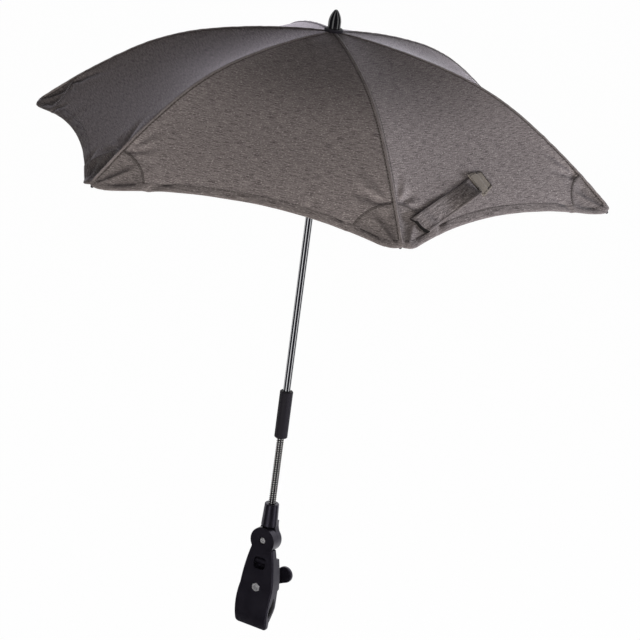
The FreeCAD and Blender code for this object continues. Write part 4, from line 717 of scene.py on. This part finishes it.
class PARASOL_OT_strap(bpy.types.Operator):
    """Lay the doubled closing strap on its panel and sew its patch down"""
    bl_idname = "parasol.strap"
    bl_label = "Strap"

    def execute(self, context):
        cloth = context.scene.parasol_cloth
        dome = Dome(cloth)
        start = Vector((cloth.strap_out, cloth.strap_side))
        along = Vector((cloth.strap_end_out, cloth.strap_end_side)) - start
        ahead = along.normalized()
        across = Vector((-ahead.y, ahead.x))
        half = cloth.strap_width / 2

        def over(share, aside):
            """Height of the band's underside: it twists after the patch and lies down toward its loose end."""
            twist = smooth((share - 0.05) / 0.12) * (1 - smooth((share - 0.26) / 0.34))
            loose = smooth((share - 0.62) / 0.38)
            crumple = noise.noise(Vector((share * 7, aside / 0.012, 4.0))) * smooth((share - 0.1) / 0.1)
            tilt = (0.0062 * twist - 0.0012 * (1 - twist) * smooth((share - 0.4) / 0.2)) * aside / half
            return 0.001 + 0.006 * twist + 0.0009 * crumple + 0.001 * loose + tilt

        def on_strap(share, aside, lift):
            """The band's two layers part at the loose end, most at its lower corner."""
            skew = -cloth.strap_skew / 2 * aside / half * share ** 2
            spot = start + along * share + ahead * skew + across * aside
            if lift > 0.0007:
                lift += 0.0042 * smooth((share - 0.72) / 0.28) * (0.2 + 0.8 * smooth((aside / half + 1) / 2))
            return dome.eased(STRAP_RIB, (STRAP_RIB, spot.x, spot.y), max(over(share, aside), 0.0003) + lift)

        bm, weave = new_strip()
        closed_strip(bm, scaled(STRAP_PROFILE, half), 60, on_strap, weave, along.length)
        mouth = min((face for face in bm.faces if len(face.verts) > 4),
                    key=lambda face: (face.calc_center_median() - on_strap(1, 0, 0.001)).length)
        mouth.material_index = 1
        # The doubled strap gets painted shade, for its second layer that lets less light through.
        strap = piece_of(bm, "closing_strap", cloth_finish(cloth, "Doubled strap cloth", 0.05, 0.3))
        # No light comes between the band's layers.
        strap.data.materials.append(thread_finish("Shade between the layers", linear("#0b0a09")))

        side, stretch = cloth.patch_width / 2, cloth.patch_length / 2
        middle = start - ahead * (stretch - cloth.patch_lap)

        def on_patch(share, aside, lift):
            """The patch is wider over the strap, where it stands higher too."""
            on = (share - 0.5) * 2 * stretch
            rise = smooth((on + 0.006) / 0.008)
            fray = 0.0006 * noise.noise(Vector((on / 0.003, aside / 0.003, 2.0)))
            spot = middle + across * (aside * (1 + 0.16 * on / stretch) + fray) + ahead * (on + fray)
            edge = smooth(share / 0.04)
            return dome.eased(STRAP_RIB, (STRAP_RIB, spot.x, spot.y), (lift + 0.0029 * rise) * edge + 0.0002)

        bm, weave = new_strip()
        closed_strip(bm, scaled(PATCH_PROFILE, side), 36, on_patch, weave)
        patch = piece_of(bm, "strap_anchor", band_finish("Twill patch", cloth.patch))

        bm = bmesh.new()
        inset = 0.0014
        for step in range(PATCH_STITCHES):
            near, away = 2 * step / PATCH_STITCHES - 1, 2 * (step + 1) / PATCH_STITCHES - 1
            slant = 0.0009 * (1 if step % 2 else -1)
            for edge in (-1, 1):
                wide, far = edge * (side - inset), edge * (stretch - inset)
                long_side = ((near * (stretch - inset), wide + slant), (away * (stretch - inset), wide - slant))
                short_side = ((far + slant, near * (side - inset)), (far - slant, away * (side - inset)))
                for first, last in (long_side, short_side):
                    ends = [on_patch(0.5 + on / (2 * stretch), aside, 0.0011) for on, aside in (first, last)]
                    add_stitch(bm, *ends, 2.2 if first[0] < 0 else 1.0)
        for step in range(HIDDEN_STITCHES, STRAP_STITCHES):
            for edge in (-0.8, 0.8):
                ends = [on_strap(at / STRAP_STITCHES, edge * half, 0.0018) for at in (step, step + 1)]
                add_stitch(bm, *ends)
        stitches = piece_of(bm, "strap_stitches", thread_finish("Dark sewing thread", linear("#2e2926")))
        for piece in (strap, patch, stitches):
            fold_with(piece, STRAP_RIB)
        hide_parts("tie_strap")
        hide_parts("strap_patch")
        return {"FINISHED"}


class PARASOL_OT_arm(bpy.types.Operator):
    """Wind the bendable arm and put its core in"""
    bl_idname = "parasol.arm"
    bl_label = "Bendable arm"

    def execute(self, context):
        arm = context.scene.parasol_arm
        colours = context.scene.parasol_finish
        # Nickel on drawn wire: sharp and bright on the outside of each turn.
        finish, tree, shader = new_finish("Nickel plated wire", Metallic=1.0, Specular_Tint=linear("#3a3a3a"))
        spot = add(tree, "TexCoord").outputs["Object"]
        # Drawing marks are 0.4 mm apart, drawn 1.2 mm apart so that they show.
        marks = add(tree, "TexNoise", {"Vector": spot, "Scale": 1 / 0.0012, "Detail": 3.0})
        deep = [c * 0.75 for c in colours.plated[:3]] + [1]
        tone = add(tree, "Mix", {0: marks.outputs[0], 6: deep, 7: colours.plated}, data_type="RGBA")
        # Painted shade darkens the grooves between the turns, from a little way in from the wire's outside.
        groove = add(tree, "SeparateXYZ", {0: add(tree, "UVMap", uv_map="groove").outputs[0]})
        groove_shade_share = add(tree, "MapRange", {"Value": groove.outputs[0], "From Min": 0.05, "From Max": 0.22})
        tone = add(tree, "Mix", {0: groove_shade_share.outputs[0], 6: tone.outputs[2], 7: colours.oiled}, data_type="RGBA")
        tree.links.new(tone.outputs[2], shader.inputs["Base Color"])
        rough = add(tree, "MapRange", {"Value": marks.outputs[0], "To Min": 0.06, "To Max": 0.14})
        tree.links.new(rough.outputs[0], shader.inputs["Roughness"])
        # Steel hose inside the winding: nearly black, a painted shade of the winding.
        hose, _, _ = new_finish("Oiled steel hose", Metallic=1.0, Roughness=0.5, Base_Color=colours.oiled)
        turns = arm.turns / 2
        split = arm.low + arm.pitch * turns
        halves = (("lower", "socket", "gooseneck", arm.socket_top, split, 0),
                  ("upper", "gooseneck", "mast", split, arm.sleeve_foot, turns))
        for name, below, above, start, end, before in halves:
            bm = bmesh.new()
            groove = bm.loops.layers.uv.new("groove")
            ring = bmesh.ops.create_circle(bm, segments=WIRE_SIDES, radius=arm.wire / 2)["verts"]
            turn = before * math.tau
            stand = (Matrix.Rotation(turn, 4, "Z")
                     @ Matrix.Translation((arm.outside - arm.wire / 2, 0, arm.low + arm.pitch * before))
                     @ Matrix.Diagonal((1, 1, arm.tall, 1)) @ Matrix.Rotation(math.pi / 2, 4, "X"))
            bmesh.ops.transform(bm, matrix=stand, verts=ring)
            count = round(turns * TURN_STEPS)
            bmesh.ops.spin(bm, geom=bm.verts[:] + bm.edges[:], cent=(0, 0, 0), axis=(0, 0, 1),
                           dvec=(0, 0, arm.pitch * turns / count), angle=math.tau * turns, steps=count)
            bmesh.ops.holes_fill(bm, edges=[edge for edge in bm.edges if edge.is_boundary], sides=0)
            for loop in (loop for face in bm.faces for loop in face.loops):
                loop[groove].uv = ((arm.outside - loop.vert.co.xy.length) / arm.wire, 0)
            wire = piece_of(bm, f"arm_winding_{name}", finish)
            low, high = (CORE_ENDS[0], split) if before == 0 else (split, CORE_ENDS[1])
            bm = bmesh.new()
            bmesh.ops.create_cone(bm, cap_ends=True, segments=CORE_SIDES, radius1=arm.core, radius2=arm.core,
                                  depth=high - low, matrix=Matrix.Translation((0, 0, (low + high) / 2)))
            for cut in range(1, CORE_CUTS):
                bmesh.ops.bisect_plane(bm, geom=bm.verts[:] + bm.edges[:] + bm.faces[:],
                                       plane_co=(0, 0, low + (high - low) * cut / CORE_CUTS), plane_no=(0, 0, 1))
            core = piece_of(bm, f"arm_core_{name}", hose)
            for piece, node in ((wire, "gooseneck_winding"), (core, "gooseneck_core")):
                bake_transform(piece)
                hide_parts(node)
        return {"FINISHED"}


def grained(name, base, nodes, grain, stretch, depth, shade, rough, **sockets):
    """Give frame nodes a finish with a grain in mm, stretched along the mast, and a range of roughness."""
    finish, tree, shader = new_finish(name, **sockets)
    spot = add(tree, "TexCoord").outputs["Object"]
    fine = 1 / (grain * MM)
    along = add(tree, "Mapping", {"Vector": spot, "Scale": (fine, fine, fine / stretch)})
    speckle = add(tree, "TexNoise", {"Vector": along.outputs[0], "Scale": 1.0, "Detail": 3.0})
    deep = [c * (1 - shade) for c in base[:3]] + [1]
    tone = add(tree, "Mix", {0: speckle.outputs[0], 6: deep, 7: base}, data_type="RGBA")
    tree.links.new(tone.outputs[2], shader.inputs["Base Color"])
    # Handling leaves duller and shinier areas about 20 mm across.
    worn = add(tree, "TexNoise", {"Vector": spot, "Scale": 1 / 0.02, "Detail": 2.0})
    dull = add(tree, "MapRange", {"Value": worn.outputs[0], "From Min": 0.3, "From Max": 0.7, "To Min": rough[0],
                                  "To Max": rough[1]})
    tree.links.new(dull.outputs[0], shader.inputs["Roughness"])
    bump = add(tree, "Bump", {"Strength": 0.5, "Distance": depth * MM, "Height": speckle.outputs[0]})
    tree.links.new(bump.outputs[0], shader.inputs["Normal"])
    for node in nodes:
        NODES[node].material_slots[0].material = finish


class PARASOL_OT_finishes(bpy.types.Operator):
    """Give the plastic and metal pieces of the frame their finishes"""
    bl_idname = "parasol.finishes"
    bl_label = "Finishes"

    def execute(self, context):
        tint = context.scene.parasol_finish
        each = {kind: [f"{kind}_{rib}" for rib in RIBS] for kind in ("rib", "stretcher", "rib_tip", "rivet")}
        # Spark-eroded mould: fine even grain, satin, and black in the shade.
        grained("Satin black ABS", tint.plastic, ["front_jaw", "rear_jaw", "wing_knob", "socket", "crown", "runner"],
                0.7, 1, 0.05, 0.25, (0.3, 0.42), IOR=1.54, Specular_IOR_Level=0.8, Specular_Tint=linear("#ebe3ff"))
        # Extruded grip sleeve: duller than the clamp, so a little greyer.
        grained("Matt black ABS", tint.sleeve, ["sleeve", "ferrule_collar"], 0.5, 4, 0.04, 0.2, (0.5, 0.6), IOR=1.54,
                Specular_IOR_Level=0.25)
        # Polished and plated tube: sharp streaks with hairlines along it.
        grained("Polished chrome", tint.chrome, ["shaft"], 0.5, 60, 0.0003, 0.1, (0.06, 0.1), Metallic=1.0)
        # Bright zinc on turned steel: soft blotches, and some of its shine gone dull.
        grained("Bright zinc", tint.zinc,
                ["clamp_nut", "jaw_pin", "knob_washer", "clamp_bolt", "pivot_screw", "pivot_nut"],
                1.2, 1, 0.01, 0.25, (0.38, 0.5), Metallic=0.75)
        # Drawn wire and strip: fine lines along the drawing.
        grained("Drawn spring steel", tint.zinc, ["spring_catch", "crown_wire", "runner_wire"] + each["rivet"],
                0.4, 30, 0.005, 0.3, (0.25, 0.4), Metallic=1.0)
        # Dipped lacquer on pressed steel: smooth with slight runs.
        grained("Black lacquer", tint.lacquer, each["rib"] + each["stretcher"], 3.0, 6, 0.03, 0.3, (0.3, 0.42),
                Coat_Weight=0.4, Coat_Roughness=0.15)
        # Polished mould: wet-looking black.
        grained("Glossy black ABS", tint.gloss, ["ferrule"] + each["rib_tip"], 2.5, 1, 0.008, 0.2, (0.06, 0.12),
                IOR=1.65, Specular_IOR_Level=0.8)
        # Moulded rubber: dull, with a soft grain.
        grained("Moulded rubber", tint.rubber, ["front_liner", "rear_liner"], 0.9, 1, 0.08, 0.3, (0.7, 0.85), IOR=1.5)
        # Pressed fibre: dull and blotched.
        grained("Pressed fibre", tint.fibre, ["friction_washer"], 0.6, 1, 0.06, 0.5, (0.8, 0.95), IOR=1.45)
        return {"FINISHED"}


def seen_rays(tree):
    """One for rays from the camera, off gloss or through glass, and nought for the light's own rays."""
    rays = add(tree, "LightPath").outputs
    seen = add(tree, "Math", {0: rays["Is Camera Ray"], 1: rays["Is Glossy Ray"]}, operation="MAXIMUM")
    return add(tree, "Math", {0: seen.outputs[0], 1: rays["Is Transmission Ray"]}, operation="MAXIMUM").outputs[0]


def hang_lamp(name, stage, turn, rise, level, tint):
    """Square lamp aimed at the rim's middle, whose level is a share of plain white on a face square to it."""
    lamp = bpy.data.lights.new(name, "AREA")
    lamp.energy = level * (math.pi * stage.lamp_distance) ** 2
    lamp.color = tint[:3]
    lamp.size = stage.lamp_size
    hung = bpy.data.objects.new(name, lamp)
    way = Vector((math.cos(turn) * math.cos(rise), math.sin(turn) * math.cos(rise), math.sin(rise)))
    hung.location = way * stage.lamp_distance + Vector((0, 0, stage.rim_height))
    hung.rotation_euler = way.to_track_quat("Z", "Y").to_euler()
    hung.visible_camera = False
    bpy.context.scene.collection.objects.link(hung)
    return hung


class PARASOL_OT_stage(bpy.types.Operator):
    """Set the floor, the lamps, the dark cards and the camera"""
    bl_idname = "parasol.stage"
    bl_label = "Stage"

    def execute(self, context):
        scene = context.scene
        stage = scene.parasol_stage
        self.lay_floor(stage)
        self.light(scene, stage)
        self.hang_cards(stage)
        self.aim_camera(scene, stage)
        scene.view_settings.view_transform = "Standard"
        return {"FINISHED"}

    def lay_floor(self, stage):
        """White floor that keeps a little of the parasol's shadow."""
        bm = bmesh.new()
        bmesh.ops.create_grid(bm, x_segments=1, y_segments=1, size=30,
                              matrix=Matrix.Translation((0, 0, stage.floor_height)))
        finish, tree, shader = new_finish("White paper floor", Roughness=0.9, Base_Color=linear("#f2f2f2"))
        share = add(tree, "Math", {0: seen_rays(tree), 1: 0.985}, operation="MULTIPLY")
        glow = add(tree, "Emission", {"Color": (1, 1, 1, 1), "Strength": 1.0})
        mixed = add(tree, "MixShader", {0: share.outputs[0], 1: shader.outputs[0], 2: glow.outputs[0]})
        tree.links.new(mixed.outputs[0], tree.nodes["Material Output"].inputs["Surface"])
        piece_of(bm, "floor", finish, Vector((0, 0, 1)))

    def light(self, scene, stage):
        """A little light from all round, and low lamps beside the camera, on the right and behind."""
        scene.world = bpy.data.worlds.new("Studio")
        scene.world.use_nodes = True
        tree = scene.world.node_tree
        seen = seen_rays(tree)
        level = add(tree, "MapRange", {"Value": seen, "To Min": stage.fill, "To Max": 1.0})
        tint = add(tree, "Mix", {0: seen, 6: stage.fill_tint, 7: (1, 1, 1, 1)}, data_type="RGBA")
        tree.links.new(level.outputs[0], tree.nodes["Background"].inputs["Strength"])
        tree.links.new(tint.outputs[2], tree.nodes["Background"].inputs["Color"])
        lamps = {}
        for name, rise in (("front", stage.low_rise), ("right", stage.low_rise), ("back", stage.back_rise)):
            level, turn, tint = (getattr(stage, name + part) for part in ("", "_turn", "_tint"))
            lamps[name] = hang_lamp(name, stage, turn, rise, level, tint)
        # Polished faces see the openings between the cards in place of the lamps, and the back lamp lights only cloth.
        lamps["front"].visible_glossy = lamps["right"].visible_glossy = False
        lamps["back"].light_linking.receiver_collection = bpy.data.collections.new(BACK_LIT)

    def hang_cards(self, stage):
        """Dark cards round the parasol that only polished faces see, with openings between them."""
        bm = bmesh.new()
        for (gap, width), (next_gap, next_width) in zip(TENT_GAPS, TENT_GAPS[1:] + TENT_GAPS[:1]):
            first = math.radians(gap + width / 2)
            sweep = math.radians((next_gap - next_width / 2 - gap - width / 2) % 360)
            low, high = stage.floor_height + 0.01, stage.tent_height
            heights = ((stage.tent_top / 6, low), (stage.tent_radius, low), (stage.tent_radius, high),
                       (stage.tent_top, high + stage.tent_top))
            points = [bm.verts.new((radius * math.cos(first), radius * math.sin(first), height))
                      for radius, height in heights]
            edges = [bm.edges.new(pair) for pair in zip(points, points[1:])]
            bmesh.ops.spin(bm, geom=points + edges, cent=(0, 0, 0), axis=(0, 0, 1), angle=sweep, steps=16)
        finish, tree, _ = new_finish("Dark card")
        glow = add(tree, "Emission", {"Color": linear("#2c2a30"), "Strength": 1.0})
        tree.links.new(glow.outputs[0], tree.nodes["Material Output"].inputs["Surface"])
        cards = piece_of(bm, "dark_cards", finish)
        for ray in ("camera", "diffuse", "transmission", "volume_scatter", "shadow"):
            setattr(cards, f"visible_{ray}", False)

    def aim_camera(self, scene, stage):
        """Camera at the photograph's place, leaning as it did."""
        turn, rise, roll = stage.azimuth, stage.elevation, stage.roll
        toward = Vector((math.sin(turn) * math.cos(rise), -math.cos(turn) * math.cos(rise), math.sin(rise)))
        level_right = Vector((math.cos(turn), math.sin(turn), 0))
        level_up = toward.cross(level_right)
        right = level_right * math.cos(roll) + level_up * math.sin(roll)
        up = toward.cross(right)
        base = Matrix((right, up, toward)).transposed()
        middle = FRAME_PX / 2
        ray = Vector(((stage.aim_x - middle) / stage.focus_px, (middle - stage.aim_y) / stage.focus_px, -1))
        swing = Vector((0, 0, -1)).rotation_difference(ray).to_matrix()
        lens = bpy.data.cameras.new("camera")
        lens.sensor_width = SENSOR_MM
        lens.lens = SENSOR_MM * stage.focus_px / FRAME_PX
        camera = bpy.data.objects.new("camera", lens)
        place = Vector((0, 0, stage.rim_height)) + toward * stage.distance
        camera.matrix_world = Matrix.Translation(place) @ (base @ swing.transposed()).to_4x4()
        scene.collection.objects.link(camera)
        scene.camera = camera


GROUPS = {"parasol_cloth": ParasolCloth, "parasol_arm": ParasolArm, "parasol_finish": ParasolFinish,
          "parasol_stage": ParasolStage}
OPERATORS = (PARASOL_OT_stage, PARASOL_OT_finishes, PARASOL_OT_canopy, PARASOL_OT_hems, PARASOL_OT_stitches,
             PARASOL_OT_strap, PARASOL_OT_arm)


class PARASOL_PT_dressing(bpy.types.Panel):
    """Sidebar panel with the parasol's operators and their values"""
    bl_idname = "PARASOL_PT_dressing"
    bl_label = "Pram parasol"
    bl_space_type = "VIEW_3D"
    bl_region_type = "UI"
    bl_category = "Parasol"

    def draw(self, context):
        for operator in OPERATORS:
            self.layout.operator(operator.bl_idname)
        for name, group in GROUPS.items():
            box = self.layout.box()
            box.label(text=group.__doc__)
            for value in group.__annotations__:
                box.prop(getattr(context.scene, name), value)


def register():
    """Register the classes and put the values on the scene."""
    for group in (*GROUPS.values(), *OPERATORS, PARASOL_PT_dressing):
        bpy.utils.register_class(group)
    for name, group in GROUPS.items():
        setattr(bpy.types.Scene, name, PointerProperty(type=group))


def unregister():
    """Take the values off the scene and the classes out."""
    for name in GROUPS:
        delattr(bpy.types.Scene, name)
    for group in (PARASOL_PT_dressing, *reversed(OPERATORS), *reversed(GROUPS.values())):
        bpy.utils.unregister_class(group)


def main():
    """Dress the parasol."""
    register()
    for operator in OPERATORS:
        section, name = operator.bl_idname.split(".")
        getattr(getattr(bpy.ops, section), name)()


if __name__ == "__main__":
    main()
